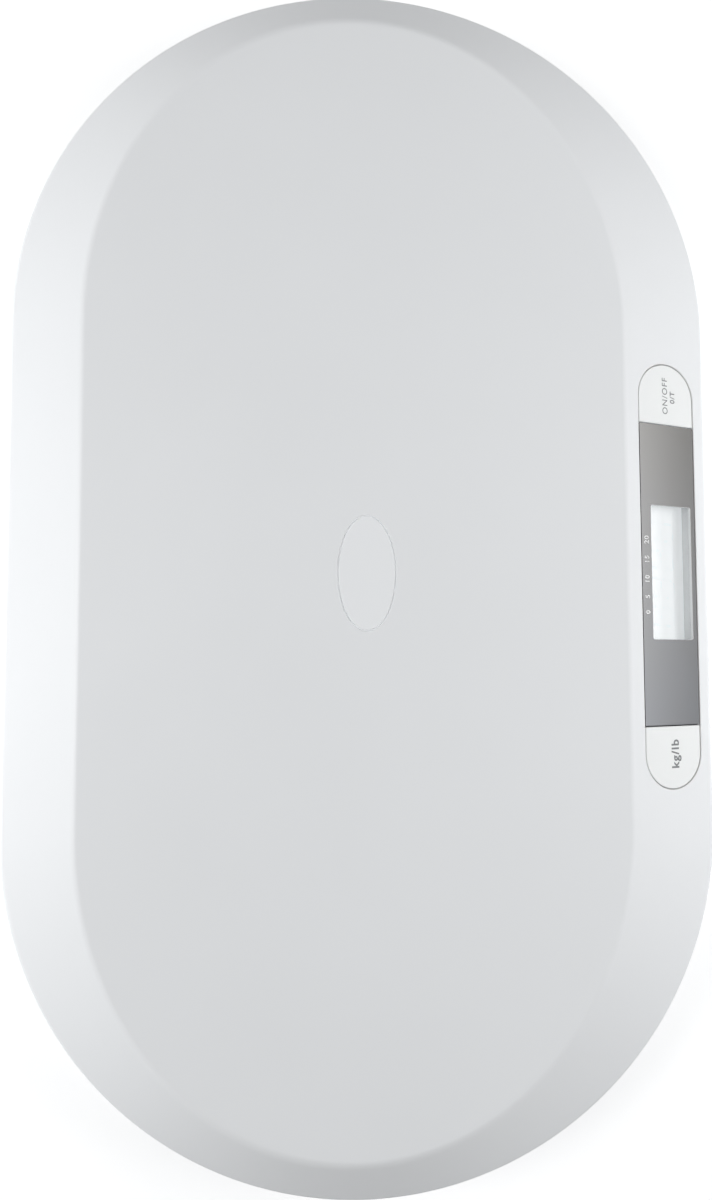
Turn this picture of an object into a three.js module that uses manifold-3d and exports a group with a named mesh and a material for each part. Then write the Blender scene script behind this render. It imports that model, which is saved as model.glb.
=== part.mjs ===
// Digital baby weighing scale: a flat oval platform with a bevelled edge, on four load sensing feet.
// Millimetres. X runs along the length, the display slopes down towards -Y and Z is up from the table.

import * as THREE from 'three';
import { mergeVertices } from 'three/addons/utils/BufferGeometryUtils.js';
import Module from 'manifold-3d';

const wasm = await Module();
wasm.setup();

// Whole scale
const overall_length = 550;
const overall_width = 321.7;
const overall_height = 52;

// Clearances shared by the fits, and the overrun of every cut
const seat_gap = 0.3;
const cut_overrun = 2;

// Platform cover: a thin moulding with a flat plateau, a ruled bevel all round and a short skirt
const cover_wall = 2.6;
const plateau_rise = 16;
const front_bevel_width = 44.25;
const back_bevel_width = 35.65;
const end_bevel_width = 23.2;
const plateau_bend_inset = 3.05;
const plateau_edge_round = 4;
const rim_round = 2.5;
const skirt_height = 12;
const skirt_draft = 0.6;

// Stiffening ribs under the plateau
const rib_thickness = 1.8;
const rib_depth = 7;
const rib_margin = 9;
const long_rib_pitch = 42;
const cross_rib_pitch = 60;

// Fine oval groove moulded in the middle of the plateau
const oval_half_length = 25.3;
const oval_half_width = 12.7;
const oval_groove_width = 0.9;
const oval_groove_depth = 0.5;
const oval_shift_x = -1.1;
const oval_shift_y = 0.8;

// Base moulding: a shallow pan whose wall curves in towards the table
const base_clearance = 9;
const base_wall = 2.4;
const base_tuck = 22;
const base_inner_tuck = 23.5;
const shoulder_inset = 1.2;
const seam_gap = 0.5;
const lip_height = 5;
const lip_thickness = 1.8;
const lip_gap = 0.4;

// Housing screws, driven up through towers in the base into bosses under the plateau
const side_screw_past_bend = 13.85;
const side_screw_inset = 48.85;
const end_screw_inset = 53;
const tower_radius = 6;
const tower_height = 13;
const tower_floor = 2.5;
const tower_bore_radius = 4.3;
const screw_head_radius = 3.6;
const screw_head_height = 2.2;
const screw_shank_radius = 1.5;
const screw_grip = 13;
const screw_hole_play = 0.4;
const boss_radius = 4.5;
const boss_hole_play = 0.25;

// Display strip: a stadium opening in the front bevel, filled by a panel between two buttons
const strip_half_width = 16.2;
const strip_below_middle = 0.33;
const panel_half_length = 68.9;
const panel_step = 0.15;
const panel_skin = 1.2;
const panel_side_gap = 0.25;
const flange_thickness = 1.4;
const flange_reach = 3;
const window_half_length = 30.6;
const window_half_width = 11.6;
const window_shift_x = 0.6;
const window_shift_y = -1.5;
const window_sheet_overlap = 2.6;
const window_sheet_thickness = 1.2;

// Liquid crystal display, its holder and the contact strip under it
const lcd_depth = 7.3;
const lcd_thickness = 2.6;
const lcd_side_overlap = 3.2;
const lcd_edge_overlap = 2.7;
const holder_wall = 2;
const holder_clearance = 0.7;
const contact_strip_thickness = 1.5;
const contact_strip_width = 2;
const contact_strip_half_length = 30;

// Circuit board, parallel to the bevel
const board_thickness = 1.6;
const board_half_width = 13;
const board_end_margin = 4;
const board_screw_past_strip = 6.3;
const board_boss_radius = 3.4;
const board_screw_shank_radius = 1.1;
const board_screw_head_radius = 2.5;
const board_screw_head_height = 1.5;
const board_screw_grip = 5;
const chip_half_side = 5;
const chip_height = 1.4;
const chip_x = -12;

// Buttons and the switches under them
const button_bay_length = 28.8;
const button_gap = 0.3;
const button_wall = 1.4;
const button_cap = 1.8;
const button_flange_reach = 1.6;
const button_flange_thickness = 1;
const button_stem_radius = 2.4;
const button_stem_set = 15.1;
const switch_half_side = 3;
const switch_height = 3.5;
const plunger_radius = 1.7;
const plunger_proud = 1;
const plunger_sunk = 1.4;
const plunger_travel = 0.6;

// Cells side by side in a bay under the middle of the base
const cell_count = 4;
const cell_radius = 5.25;
const cell_length = 44.5;
const cell_nub_radius = 1.9;
const cell_nub_length = 0.8;
const cell_edge = 0.5;
const cell_pitch = 11.6;
const bay_y = 0;
const bay_side_gap = 0.6;
const bay_wall = 2;
const bay_ledge = 3;
const gaps_along_cell = 5;

// Battery contacts and their coil springs
const contact_thickness = 0.4;
const contact_half_width = 4;
const contact_above_axis = 3.2;
const contact_below_axis = 4.6;
const solder_tab_half_width = 1.5;
const solder_tab_reach = 3;
const spring_length = 4.4;
const spring_wire_radius = 0.3;
const spring_base_radius = 3.3;
const spring_tip_radius = 2.1;
const spring_turns = 3.5;
const spring_steps_per_turn = 8;
const spring_sides = 5;

// Battery door: two tongues hook over the back edge of its recess, a sprung latch closes the front
const door_thickness = 2;
const door_tongue_x = 17;
const door_tongue_half_width = 4;
const door_tongue_reach = 2.2;
const door_tongue_thickness = 1.5;
const door_lip_thickness = 1.4;
const latch_half_width = 6;
const latch_length = 14;
const latch_slot = 1;
const thumb_notch_half_width = 8;
const thumb_notch_length = 7;
const thumb_notch_depth = 1.3;

// Feet: a moulded disc with a rubber pad, snapped through the tongue of a steel load sensor
const foot_past_bend = 50.85;
const foot_side_inset = 80.85;
const well_radius = 25;
const well_wall = 2.2;
const well_ceiling = 2.4;
const foot_radius = 22.5;
const foot_lift = 1.6;
const foot_flare = 2.6;
const foot_wall = 1.8;
const foot_wall_top = 11;
const foot_web_top = 5.2;
const foot_hub_radius = 4;
const foot_neck_radius = 1.6;
const foot_snap_radius = 2.5;
const foot_snap_height = 0.8;
const foot_travel = 0.6;
const pad_radius = 15;
const pad_thickness = 2.5;
const pad_edge = 0.6;

// Load sensors and the brackets that hold them in the wells
const sensor_half_side = 15;
const sensor_thickness = 2.4;
const sensor_underside = 17.2;
const sensor_corner = 3;
const sensor_slot_half_length = 10.5;
const sensor_slot_width = 2;
const sensor_slot_end = 9;
const sensor_slot_front = 11;
const sensor_hole_radius = 2.1;
const gauge_half_length = 4;
const gauge_half_width = 2.5;
const gauge_height = 0.6;
const gauge_y = 6;
const bracket_wall = 1.5;
const bracket_plate = 1.4;
const bracket_corner = 4;
const bracket_window_radius = 10;
const bracket_clip_reach = 0.9;
const bracket_clip_half_length = 5;
const bracket_clip_thickness = 0.9;

// Leads from the sensors and the battery contacts to the board
const lead_radius = 1;
const lead_port_half_side = 1.6;
const lead_run_out = 3;
const lead_rise = 6;
const lead_edge_inset = 3.2;
const front_lead_x = 60;
const back_lead_x = 42;
const minus_lead_x = 32;
const plus_lead_x = 22;
const lead_sides = 8;
const lead_steps = 18;

// Roundness of the curved faces
const end_steps = 32;
const oval_steps = 22;
const strip_steps = 8;
const well_steps = 24;
const tower_steps = 12;
const window_steps = 14;
const small_steps = 10;
const hole_steps = 5;
const corner_steps = 2;
const foot_steps = 20;
const cell_steps = 16;
const fillet_steps = 3;
const base_curve_steps = 4;

// Levels and places that follow from the sizes above
const half_turn = Math.PI;
const quarter_turn = Math.PI / 2;
const rim_radius = overall_width / 2;
const rim_half_straight = overall_length / 2 - rim_radius;
const rim_level = overall_height - plateau_rise;
const ceiling_level = overall_height - cover_wall;
const skirt_level = rim_level - skirt_height;
const plateau_half_straight = rim_half_straight - plateau_bend_inset;
const plateau_end_reach = overall_length / 2 - end_bevel_width - plateau_half_straight;
const plateau_half_width = (overall_width - front_bevel_width - back_bevel_width) / 2;
const plateau_back_shift = (front_bevel_width - back_bevel_width) / 2;
const front_slope = Math.atan2(plateau_rise, front_bevel_width);
const strip_half_length = panel_half_length + button_bay_length;
const button_stem_x = panel_half_length + button_stem_set;
const board_screw_x = strip_half_length + board_screw_past_strip;
const strip_up_slope = Math.hypot(plateau_rise, front_bevel_width) / 2 - strip_below_middle;
const shoulder_level = skirt_level - seam_gap;
const floor_level = base_clearance + base_wall;
const tower_top = base_clearance + tower_height;
const tower_seat = tower_top - tower_floor;
const side_screw_x = rim_half_straight + side_screw_past_bend;
const side_screw_y = rim_radius - side_screw_inset;
const end_screw_x = overall_length / 2 - end_screw_inset;
const foot_x = rim_half_straight + foot_past_bend;
const foot_y = rim_radius - foot_side_inset;

// Depths below the face of the bevel, along its normal
const panel_back = cover_wall + seat_gap + flange_thickness;
const sheet_front = panel_step + panel_skin + seat_gap;
const sheet_back = sheet_front + window_sheet_thickness;
const board_front = lcd_depth + lcd_thickness + contact_strip_thickness + 2 * seat_gap;
const board_back = board_front + board_thickness;
const holder_back = board_front - seat_gap;
const switch_top = board_front - seat_gap - switch_height;
const plunger_top = switch_top - plunger_proud;
const plunger_bottom = switch_top + plunger_sunk;

// Battery bay, measured from its middle
const fits_along_cell = gaps_along_cell * seat_gap;
const bay_half_x = (cell_length + spring_length + 2 * contact_thickness + fits_along_cell) / 2;
const outer_cell_y = ((cell_count - 1) * cell_pitch) / 2;
const bay_half_y = outer_cell_y + cell_radius + bay_side_gap;
const recess_half_x = bay_half_x + bay_ledge;
const recess_half_y = bay_half_y + bay_ledge;
const tongue_slot_reach = door_tongue_reach + seat_gap;
const block_half_x = recess_half_x + bay_wall;
const block_half_y = recess_half_y + tongue_slot_reach + bay_wall;
const cell_axis = base_clearance + door_thickness + 2 * seat_gap + cell_radius;
const cradle_radius = cell_radius + seat_gap;
const bay_top = cell_axis + cradle_radius + bay_wall;
const contact_face = bay_half_x - seat_gap - contact_thickness;

// Foot stack, from the table up
const sensor_top = sensor_underside + sensor_thickness;
const well_top = sensor_top + 2 * seat_gap + bracket_plate;
const bracket_half_side = sensor_half_side + seat_gap + bracket_wall;
const bracket_bottom = sensor_underside - seat_gap - bracket_clip_thickness;

// Turns a geometry into one closed indexed body with its faces pointing out
function closedGeometry(source) {
  const bare = source.clone();
  bare.deleteAttribute('normal');
  bare.deleteAttribute('uv');
  const merged = mergeVertices(bare);
  const corners = merged.index.array;
  const points = merged.attributes.position;
  const kept = [];
  for (let at = 0; at < corners.length; at += 3) {
    const [a, b, c] = [corners[at], corners[at + 1], corners[at + 2]];
    if (a !== b && b !== c && c !== a) kept.push(a, b, c);
  }
  let volume = 0;
  const [p, q, r] = [new THREE.Vector3(), new THREE.Vector3(), new THREE.Vector3()];
  for (let at = 0; at < kept.length; at += 3) {
    p.fromBufferAttribute(points, kept[at]);
    q.fromBufferAttribute(points, kept[at + 1]);
    r.fromBufferAttribute(points, kept[at + 2]);
    volume += p.dot(q.cross(r));
  }
  if (volume < 0) kept.reverse();
  merged.setIndex(kept);
  return merged;
}

function solidOf(geometry) {
  const closed = closedGeometry(geometry);
  const vertProperties = new Float32Array(closed.attributes.position.array);
  const triVerts = new Uint32Array(closed.index.array);
  return new wasm.Manifold(new wasm.Mesh({ numProp: 3, vertProperties, triVerts }));
}

function geometryOf(solid) {
  const { vertProperties, triVerts } = solid.getMesh();
  const geometry = new THREE.BufferGeometry();
  geometry.setAttribute('position', new THREE.BufferAttribute(new Float32Array(vertProperties), 3));
  geometry.setIndex(Array.from(triVerts));
  return geometry;
}

function joined(solids) {
  return solids.reduce((all, solid) => all.add(solid));
}

function without(solid, cuts) {
  return cuts.reduce((left, cut) => left.subtract(cut), solid);
}

// A flat shape raised from one level to another
function raised(shape, low, high, curveSegments = small_steps) {
  const options = { depth: high - low, bevelEnabled: false, curveSegments };
  return new THREE.ExtrudeGeometry(shape, options).translate(0, 0, low);
}

function block(low, high) {
  const size = high.map((value, axis) => value - low[axis]);
  const middle = high.map((value, axis) => (value + low[axis]) / 2);
  return new THREE.BoxGeometry(...size).translate(...middle);
}

// A profile of radius and height pairs turned round the Z axis
function turned(profile, steps) {
  const points = profile.map(([radius, height]) => new THREE.Vector2(radius, height));
  return new THREE.LatheGeometry(points, steps).rotateX(quarter_turn);
}

function rod(radius, low, high, steps = small_steps) {
  return turned([[0, low], [radius, low], [radius, high], [0, high]], steps);
}

function roundedRectangle(half_x, half_y, corner) {
  const shape = new THREE.Shape();
  shape.absarc(half_x - corner, corner - half_y, corner, -quarter_turn, 0);
  shape.absarc(half_x - corner, half_y - corner, corner, 0, quarter_turn);
  shape.absarc(corner - half_x, half_y - corner, corner, quarter_turn, half_turn);
  shape.absarc(corner - half_x, corner - half_y, corner, half_turn, half_turn + quarter_turn);
  shape.closePath();
  return shape;
}

function rectangle(half_x, half_y, shift_x = 0, shift_y = 0) {
  const shape = new THREE.Shape();
  shape.moveTo(shift_x - half_x, shift_y - half_y);
  shape.lineTo(shift_x + half_x, shift_y - half_y);
  shape.lineTo(shift_x + half_x, shift_y + half_y);
  shape.lineTo(shift_x - half_x, shift_y + half_y);
  shape.closePath();
  return shape;
}

// A closed body from rings of equal point count, with both ends filled to their middles
function lofted(rings, start, end) {
  const count = rings[0].length;
  const points = [...rings.flat(), start, end];
  const faces = [];
  for (let ring = 0; ring + 1 < rings.length; ring += 1) {
    for (let at = 0; at < count; at += 1) {
      const next = (at + 1) % count;
      const [a, b] = [ring * count + at, ring * count + next];
      faces.push(a, a + count, b + count, a, b + count, b);
    }
  }
  const last = (rings.length - 1) * count;
  for (let at = 0; at < count; at += 1) {
    const next = (at + 1) % count;
    faces.push(points.length - 2, at, next);
    faces.push(points.length - 1, last + next, last + at);
  }
  const geometry = new THREE.BufferGeometry();
  geometry.setAttribute('position', new THREE.Float32BufferAttribute(points.flat(), 3));
  geometry.setIndex(faces);
  return geometry;
}

// An oval of two straight sides and two half ellipses, as points in the plane
function ovalOutline(half_straight, end_reach, half_width, shift_y = 0) {
  const points = [];
  for (const side of [1, -1]) {
    const start = side > 0 ? -quarter_turn : quarter_turn;
    for (let step = 0; step <= end_steps; step += 1) {
      const angle = start + (half_turn * step) / end_steps;
      const x = side * half_straight + end_reach * Math.cos(angle);
      points.push([x, shift_y + half_width * Math.sin(angle)]);
    }
  }
  return points;
}

const plateau_outline = ovalOutline(
  plateau_half_straight, plateau_end_reach, plateau_half_width, plateau_back_shift,
);
const rim_outline = ovalOutline(rim_half_straight, rim_radius, rim_radius);

// A ring at a distance out from the plateau edge, given for each rule line by its width
function bevelRing(place) {
  return plateau_outline.map(([x, y], at) => {
    const [rim_x, rim_y] = rim_outline[at];
    const width = Math.hypot(rim_x - x, rim_y - y);
    const [distance, level] = place(width);
    const share = distance / width;
    return [x + (rim_x - x) * share, y + (rim_y - y) * share, level];
  });
}

// A ring at an inset from the rim
function rimRing(inset, level) {
  const radius = rim_radius - inset;
  return ovalOutline(rim_half_straight, radius, radius).map(([x, y]) => [x, y, level]);
}

// Outer skin of the platform: plateau edge, bevel, rounded rim and skirt; then the inner skin back up
function platformRings() {
  const rings = [];
  for (let step = fillet_steps; step >= 0; step -= 1) {
    const share = step / fillet_steps;
    rings.push(bevelRing((width) => [
      plateau_edge_round * (1 - 2 * share),
      overall_height - ((plateau_rise * plateau_edge_round) / width) * (1 - share) ** 2,
    ]));
  }
  for (let step = 0; step <= fillet_steps; step += 1) {
    const share = step / fillet_steps;
    rings.push(bevelRing((width) => [
      width - rim_round * (1 - share) ** 2,
      rim_level + ((plateau_rise * rim_round) / width) * (1 - share) ** 2 - rim_round * share ** 2,
    ]));
  }
  rings.push(rimRing(skirt_draft, skirt_level));
  rings.push(rimRing(skirt_draft + cover_wall, skirt_level));
  rings.push(bevelRing((width) => [
    width - cover_wall,
    rim_level + (plateau_rise * cover_wall) / width - cover_wall * Math.hypot(1, plateau_rise / width),
  ]));
  rings.push(bevelRing((width) => [
    -(width / plateau_rise) * cover_wall * (Math.hypot(1, plateau_rise / width) - 1),
    ceiling_level,
  ]));
  return rings;
}

const screw_places = [
  [side_screw_x, side_screw_y],
  [side_screw_x, -side_screw_y],
  [-side_screw_x, side_screw_y],
  [-side_screw_x, -side_screw_y],
  [end_screw_x, 0],
  [-end_screw_x, 0],
];
const foot_places = [[foot_x, -foot_y], [foot_x, foot_y], [-foot_x, foot_y], [-foot_x, -foot_y]];

// The display group stands on the front bevel: its Z axis is the bevel's outward normal
const scale = new THREE.Group();
const display = new THREE.Group();
display.position.set(0, -rim_radius, rim_level);
display.rotation.x = front_slope;
display.updateMatrix();
scale.add(display);

const strip = new THREE.Group();
strip.position.set(0, strip_up_slope, 0);
display.add(strip);

const power_end = new THREE.Group();
strip.add(power_end);

const unit_end = new THREE.Group();
unit_end.rotation.z = half_turn;
strip.add(unit_end);

function finish(color, roughness, metalness = 0) {
  return new THREE.MeshStandardMaterial({ color, roughness, metalness });
}

function addPart(group, name, solid, material) {
  const mesh = new THREE.Mesh(solid.isBufferGeometry ? closedGeometry(solid) : geometryOf(solid), material);
  mesh.name = name;
  group.add(mesh);
  return mesh;
}

const white_plastic = () => finish(0xf0f1f2, 0.45);
const platform_plastic = () => finish(0xe9ebec, 0.5);
const silver_film = () => finish(0x9a9a9b, 0.3, 0.6);
const clear_plastic = () => finish(0xf4f8f8, 0.08);
const steel = () => finish(0xa9abad, 0.35, 0.9);
const plated_steel = () => finish(0xcfd0cd, 0.25, 0.9);
const dark_rubber = () => finish(0x55585a, 0.85);
const board_green = () => finish(0x2f6b46, 0.55);
const dark_plastic = () => finish(0x1f2022, 0.5);

// Stadium outline of the display strip, grown or shrunk by a margin
function stripShape(margin) {
  const radius = strip_half_width + margin;
  const middle = strip_half_length - strip_half_width;
  const shape = new THREE.Shape();
  shape.absarc(middle, 0, radius, -quarter_turn, quarter_turn);
  shape.absarc(-middle, 0, radius, quarter_turn, half_turn + quarter_turn);
  shape.closePath();
  return shape;
}

// Outline of one button: straight towards the panel, round at the end of the strip
function buttonShape(margin, inner_margin) {
  const radius = strip_half_width - button_gap + margin;
  const middle = strip_half_length - strip_half_width;
  const inner = panel_half_length + button_gap - inner_margin;
  const shape = new THREE.Shape();
  shape.moveTo(inner, -radius);
  shape.lineTo(middle, -radius);
  shape.absarc(middle, 0, radius, -quarter_turn, quarter_turn);
  shape.lineTo(inner, radius);
  shape.closePath();
  return shape;
}

function onBevel(geometry, x, y) {
  return geometry.translate(x, strip_up_slope + y, 0).applyMatrix4(display.matrix);
}

// Platform cover
function platformRibs() {
  const top = ceiling_level + cover_wall / 2;
  const low = ceiling_level - rib_depth;
  const half = rib_thickness / 2;
  const ribs = [];
  const side_room = plateau_half_width - plateau_back_shift - 2 * rib_margin;
  const long_ribs_each_side = Math.floor(side_room / long_rib_pitch);
  for (let at = -long_ribs_each_side; at <= long_ribs_each_side; at += 1) {
    const y = at * long_rib_pitch;
    const across = (y - plateau_back_shift) / plateau_half_width;
    const reach = plateau_half_straight + plateau_end_reach * Math.sqrt(1 - across ** 2) - rib_margin;
    ribs.push(block([-reach, y - half, low], [reach, y + half, top]));
  }
  const end_room = plateau_half_straight + plateau_end_reach - 2 * rib_margin;
  const cross_ribs_each_side = Math.floor(end_room / cross_rib_pitch);
  for (let at = -cross_ribs_each_side; at <= cross_ribs_each_side; at += 1) {
    const x = at * cross_rib_pitch;
    const along = Math.max(0, Math.abs(x) - plateau_half_straight) / plateau_end_reach;
    const reach = plateau_half_width * Math.sqrt(1 - along ** 2) - rib_margin;
    const [back, front] = [plateau_back_shift + reach, plateau_back_shift - reach];
    ribs.push(block([x - half, front, low], [x + half, back, top]));
  }
  return ribs;
}

function ovalGroove() {
  const half_groove = oval_groove_width / 2;
  const shape = new THREE.Shape();
  shape.absellipse(0, 0, oval_half_length + half_groove, oval_half_width + half_groove, 0, 2 * half_turn);
  const island = new THREE.Path();
  island.absellipse(0, 0, oval_half_length - half_groove, oval_half_width - half_groove, 0, 2 * half_turn);
  shape.holes.push(island);
  const cut = raised(shape, overall_height - oval_groove_depth, overall_height + cut_overrun, oval_steps);
  return cut.translate(oval_shift_x, oval_shift_y, 0);
}

function platformCover() {
  const start = [0, plateau_back_shift, overall_height];
  const end = [0, plateau_back_shift, ceiling_level];
  const shell = solidOf(lofted(platformRings(), start, end));
  const boss_top = ceiling_level + cover_wall / 2;
  const boss_end = tower_top + seat_gap;
  const bosses = screw_places.map(([x, y]) => rod(boss_radius, boss_end, boss_top).translate(x, y, 0));
  const holes = screw_places.map(([x, y]) => {
    const top = tower_top + screw_grip + seat_gap;
    return rod(screw_shank_radius + boss_hole_play, boss_end - cut_overrun, top).translate(x, y, 0);
  });
  for (const side of [1, -1]) {
    const boss = rod(board_boss_radius, -holder_back, -cover_wall / 2);
    bosses.push(onBevel(boss, side * board_screw_x, 0));
    const hole_end = -board_front + board_screw_grip + seat_gap;
    const hole = rod(board_screw_shank_radius + boss_hole_play, -board_back, hole_end);
    holes.push(onBevel(hole, side * board_screw_x, 0));
  }
  const opening = onBevel(raised(stripShape(0), -cover_wall - cut_overrun, cut_overrun, strip_steps), 0, 0);
  const body = joined([shell, ...[...platformRibs(), ...bosses].map(solidOf)]);
  return without(body, [...holes, ovalGroove(), opening].map(solidOf));
}

// Base moulding
function baseRings() {
  const rings = [];
  for (let step = 0; step <= base_curve_steps; step += 1) {
    const angle = (quarter_turn * step) / base_curve_steps;
    const inset = shoulder_inset + (base_tuck - shoulder_inset) * (1 - Math.sin(angle));
    const level = base_clearance + (shoulder_level - base_clearance) * (1 - Math.cos(angle));
    rings.push(rimRing(inset, level));
  }
  const lip_outside = skirt_draft + cover_wall + lip_gap;
  const lip_inside = lip_outside + lip_thickness;
  rings.push(rimRing(lip_outside, shoulder_level));
  rings.push(rimRing(lip_outside, shoulder_level + lip_height));
  rings.push(rimRing(lip_inside, shoulder_level + lip_height));
  for (let step = base_curve_steps; step >= 0; step -= 1) {
    const angle = (quarter_turn * step) / base_curve_steps;
    const inset = lip_inside + (base_inner_tuck - lip_inside) * (1 - Math.sin(angle));
    const level = floor_level + (shoulder_level - floor_level) * (1 - Math.cos(angle));
    rings.push(rimRing(inset, level));
  }
  return rings;
}

// Hollow of the battery bay, scalloped above the cells, with a slot for the contacts at each end
function bayCuts() {
  const low = base_clearance - cut_overrun;
  const cuts = [block([-bay_half_x, -bay_half_y, low], [bay_half_x, bay_half_y, cell_axis])];
  for (let at = 0; at < cell_count; at += 1) {
    const cradle = rod(cradle_radius, -bay_half_x, bay_half_x, cell_steps).rotateY(quarter_turn);
    cuts.push(cradle.translate(0, at * cell_pitch - outer_cell_y, cell_axis));
  }
  const slot_depth = contact_thickness + 2 * seat_gap;
  const slot_top = cell_axis + contact_above_axis + seat_gap;
  const slot_half_y = outer_cell_y + contact_half_width + seat_gap;
  for (const side of [1, -1]) {
    const [inner, outer] = [side * (bay_half_x - slot_depth), side * bay_half_x];
    const [from, to] = [Math.min(inner, outer), Math.max(inner, outer)];
    cuts.push(block([from, -slot_half_y, low], [to, slot_half_y, slot_top]));
  }
  const recess_top = base_clearance + door_thickness + seat_gap;
  cuts.push(block([-recess_half_x, -recess_half_y, low], [recess_half_x, recess_half_y, recess_top]));
  const tongue_swing = Math.hypot(door_tongue_reach, door_lip_thickness + seat_gap + door_tongue_thickness);
  for (const x of [door_tongue_x, -door_tongue_x]) {
    const half = door_tongue_half_width + seat_gap;
    const from = [x - half, bay_half_y - seat_gap, base_clearance + door_lip_thickness];
    const to = [x + half, recess_half_y + tongue_slot_reach, base_clearance + tongue_swing + seat_gap];
    cuts.push(block(from, to));
  }
  for (const y of [outer_cell_y, -outer_cell_y]) {
    const half_y = solder_tab_half_width + seat_gap;
    const half_z = contact_thickness / 2 + seat_gap;
    const from = [bay_half_x - seat_gap, y - half_y, cell_axis - half_z];
    cuts.push(block(from, [block_half_x + cut_overrun, y + half_y, cell_axis + half_z]));
  }
  const notch_front = -recess_half_y - thumb_notch_length;
  const notch_top = base_clearance + thumb_notch_depth;
  const notch_from = [-thumb_notch_half_width, notch_front, low];
  cuts.push(block(notch_from, [thumb_notch_half_width, -recess_half_y + seat_gap, notch_top]));
  return cuts.map((cut) => cut.translate(0, bay_y, 0));
}

function baseCover() {
  const start = [0, 0, base_clearance];
  const end = [0, 0, floor_level];
  const pan = solidOf(lofted(baseRings(), start, end));
  const low = base_clearance - cut_overrun;
  const bottom = base_clearance + base_wall / 2;
  const solids = [];
  const cuts = [];
  for (const [x, y] of screw_places) {
    solids.push(rod(tower_radius, bottom, tower_top, tower_steps).translate(x, y, 0));
    cuts.push(rod(tower_bore_radius, low, tower_seat, tower_steps).translate(x, y, 0));
    const hole_radius = screw_shank_radius + screw_hole_play;
    const hole = rod(hole_radius, tower_seat - cut_overrun, tower_top + cut_overrun);
    cuts.push(hole.translate(x, y, 0));
  }
  for (const [x, y] of foot_places) {
    const outside = rod(well_radius + well_wall, bottom, well_top + well_ceiling, well_steps);
    solids.push(outside.translate(x, y, 0));
    cuts.push(rod(well_radius, low, well_top, well_steps).translate(x, y, 0));
    const inward = -Math.sign(x);
    const [near, far] = [well_radius - cut_overrun, well_radius + well_wall + cut_overrun];
    const from_x = x + Math.min(inward * near, inward * far);
    const to_x = x + Math.max(inward * near, inward * far);
    const middle = sensor_underside + sensor_thickness / 2;
    const from = [from_x, y - lead_port_half_side, middle - lead_port_half_side];
    cuts.push(block(from, [to_x, y + lead_port_half_side, middle + lead_port_half_side]));
  }
  const bay_low = [-block_half_x, bay_y - block_half_y, bottom];
  solids.push(block(bay_low, [block_half_x, bay_y + block_half_y, bay_top]));
  return without(joined([pan, ...solids.map(solidOf)]), [...cuts, ...bayCuts()].map(solidOf));
}

// Battery door with its tongues and the slotted latch finger
function batteryDoor() {
  const half_x = recess_half_x - seat_gap;
  const half_y = recess_half_y - seat_gap;
  const top = base_clearance + door_thickness;
  const tongue_low = base_clearance + door_lip_thickness + seat_gap;
  const plate = block([-half_x, -half_y, base_clearance], [half_x, half_y, top]);
  const tongues = [door_tongue_x, -door_tongue_x].map((x) => block(
    [x - door_tongue_half_width, half_y - door_tongue_reach, tongue_low],
    [x + door_tongue_half_width, recess_half_y + door_tongue_reach, tongue_low + door_tongue_thickness],
  ));
  const slots = [latch_half_width + latch_slot, -latch_half_width].map((x) => block(
    [x - latch_slot, -half_y - cut_overrun, base_clearance - cut_overrun],
    [x, latch_length - half_y, top + cut_overrun],
  ));
  return without(joined([plate, ...tongues].map(solidOf)), slots.map(solidOf)).translate(0, bay_y, 0);
}

// Display strip pieces, in depths below the bevel face
function displayPanel() {
  const half_y = strip_half_width - panel_side_gap;
  const plate = raised(rectangle(panel_half_length, half_y), -panel_back, -panel_step);
  const flange_shape = rectangle(panel_half_length, strip_half_width + flange_reach);
  const flange = raised(flange_shape, -panel_back, -cover_wall - seat_gap);
  const window_shape = rectangle(window_half_length, window_half_width, window_shift_x, window_shift_y);
  const opening = raised(window_shape, -panel_back - cut_overrun, cut_overrun);
  const pocket_margin = window_sheet_overlap + seat_gap;
  const pocket_shape = rectangle(
    window_half_length + pocket_margin, window_half_width + pocket_margin, window_shift_x, window_shift_y,
  );
  const pocket = raised(pocket_shape, -panel_back - cut_overrun, -panel_step - panel_skin);
  return without(joined([plate, flange].map(solidOf)), [opening, pocket].map(solidOf));
}

function displayWindow() {
  const shape = rectangle(
    window_half_length + window_sheet_overlap, window_half_width + window_sheet_overlap,
    window_shift_x, window_shift_y,
  );
  return raised(shape, -sheet_back, -sheet_front);
}

const lcd_half_x = window_half_length + lcd_side_overlap;
const lcd_half_y = window_half_width + lcd_edge_overlap;

// White frame that keeps the display glass at its depth and shows as the pale wall inside the window
function displayHolder() {
  const opening_x = window_half_length + holder_clearance;
  const opening_y = window_half_width + holder_clearance;
  const [pocket_x, pocket_y] = [lcd_half_x + seat_gap, lcd_half_y + seat_gap];
  const shifted = (half_x, half_y) => rectangle(half_x, half_y, window_shift_x, window_shift_y);
  const body_shape = shifted(pocket_x + holder_wall, pocket_y + holder_wall);
  const body = raised(body_shape, -holder_back, -panel_back - seat_gap);
  const lip_x = window_half_length + window_sheet_overlap;
  const lip_y = window_half_width + window_sheet_overlap;
  const lip_root = -panel_back - seat_gap - holder_wall / 2;
  const lip = raised(shifted(lip_x, lip_y), lip_root, -sheet_back - seat_gap);
  const opening = raised(shifted(opening_x, opening_y), -holder_back - cut_overrun, cut_overrun);
  const pocket = raised(shifted(pocket_x, pocket_y), -holder_back - cut_overrun, -lcd_depth + seat_gap);
  return without(joined([body, lip].map(solidOf)), [opening, pocket].map(solidOf));
}

function displayGlass() {
  const shape = rectangle(lcd_half_x, lcd_half_y, window_shift_x, window_shift_y);
  return raised(shape, -lcd_depth - lcd_thickness, -lcd_depth);
}

function contactStrip() {
  const y = window_shift_y + lcd_half_y - contact_strip_width;
  const shape = rectangle(contact_strip_half_length, contact_strip_width / 2, window_shift_x, y);
  const front = lcd_depth + lcd_thickness + seat_gap;
  return raised(shape, -front - contact_strip_thickness, -front);
}

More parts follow.
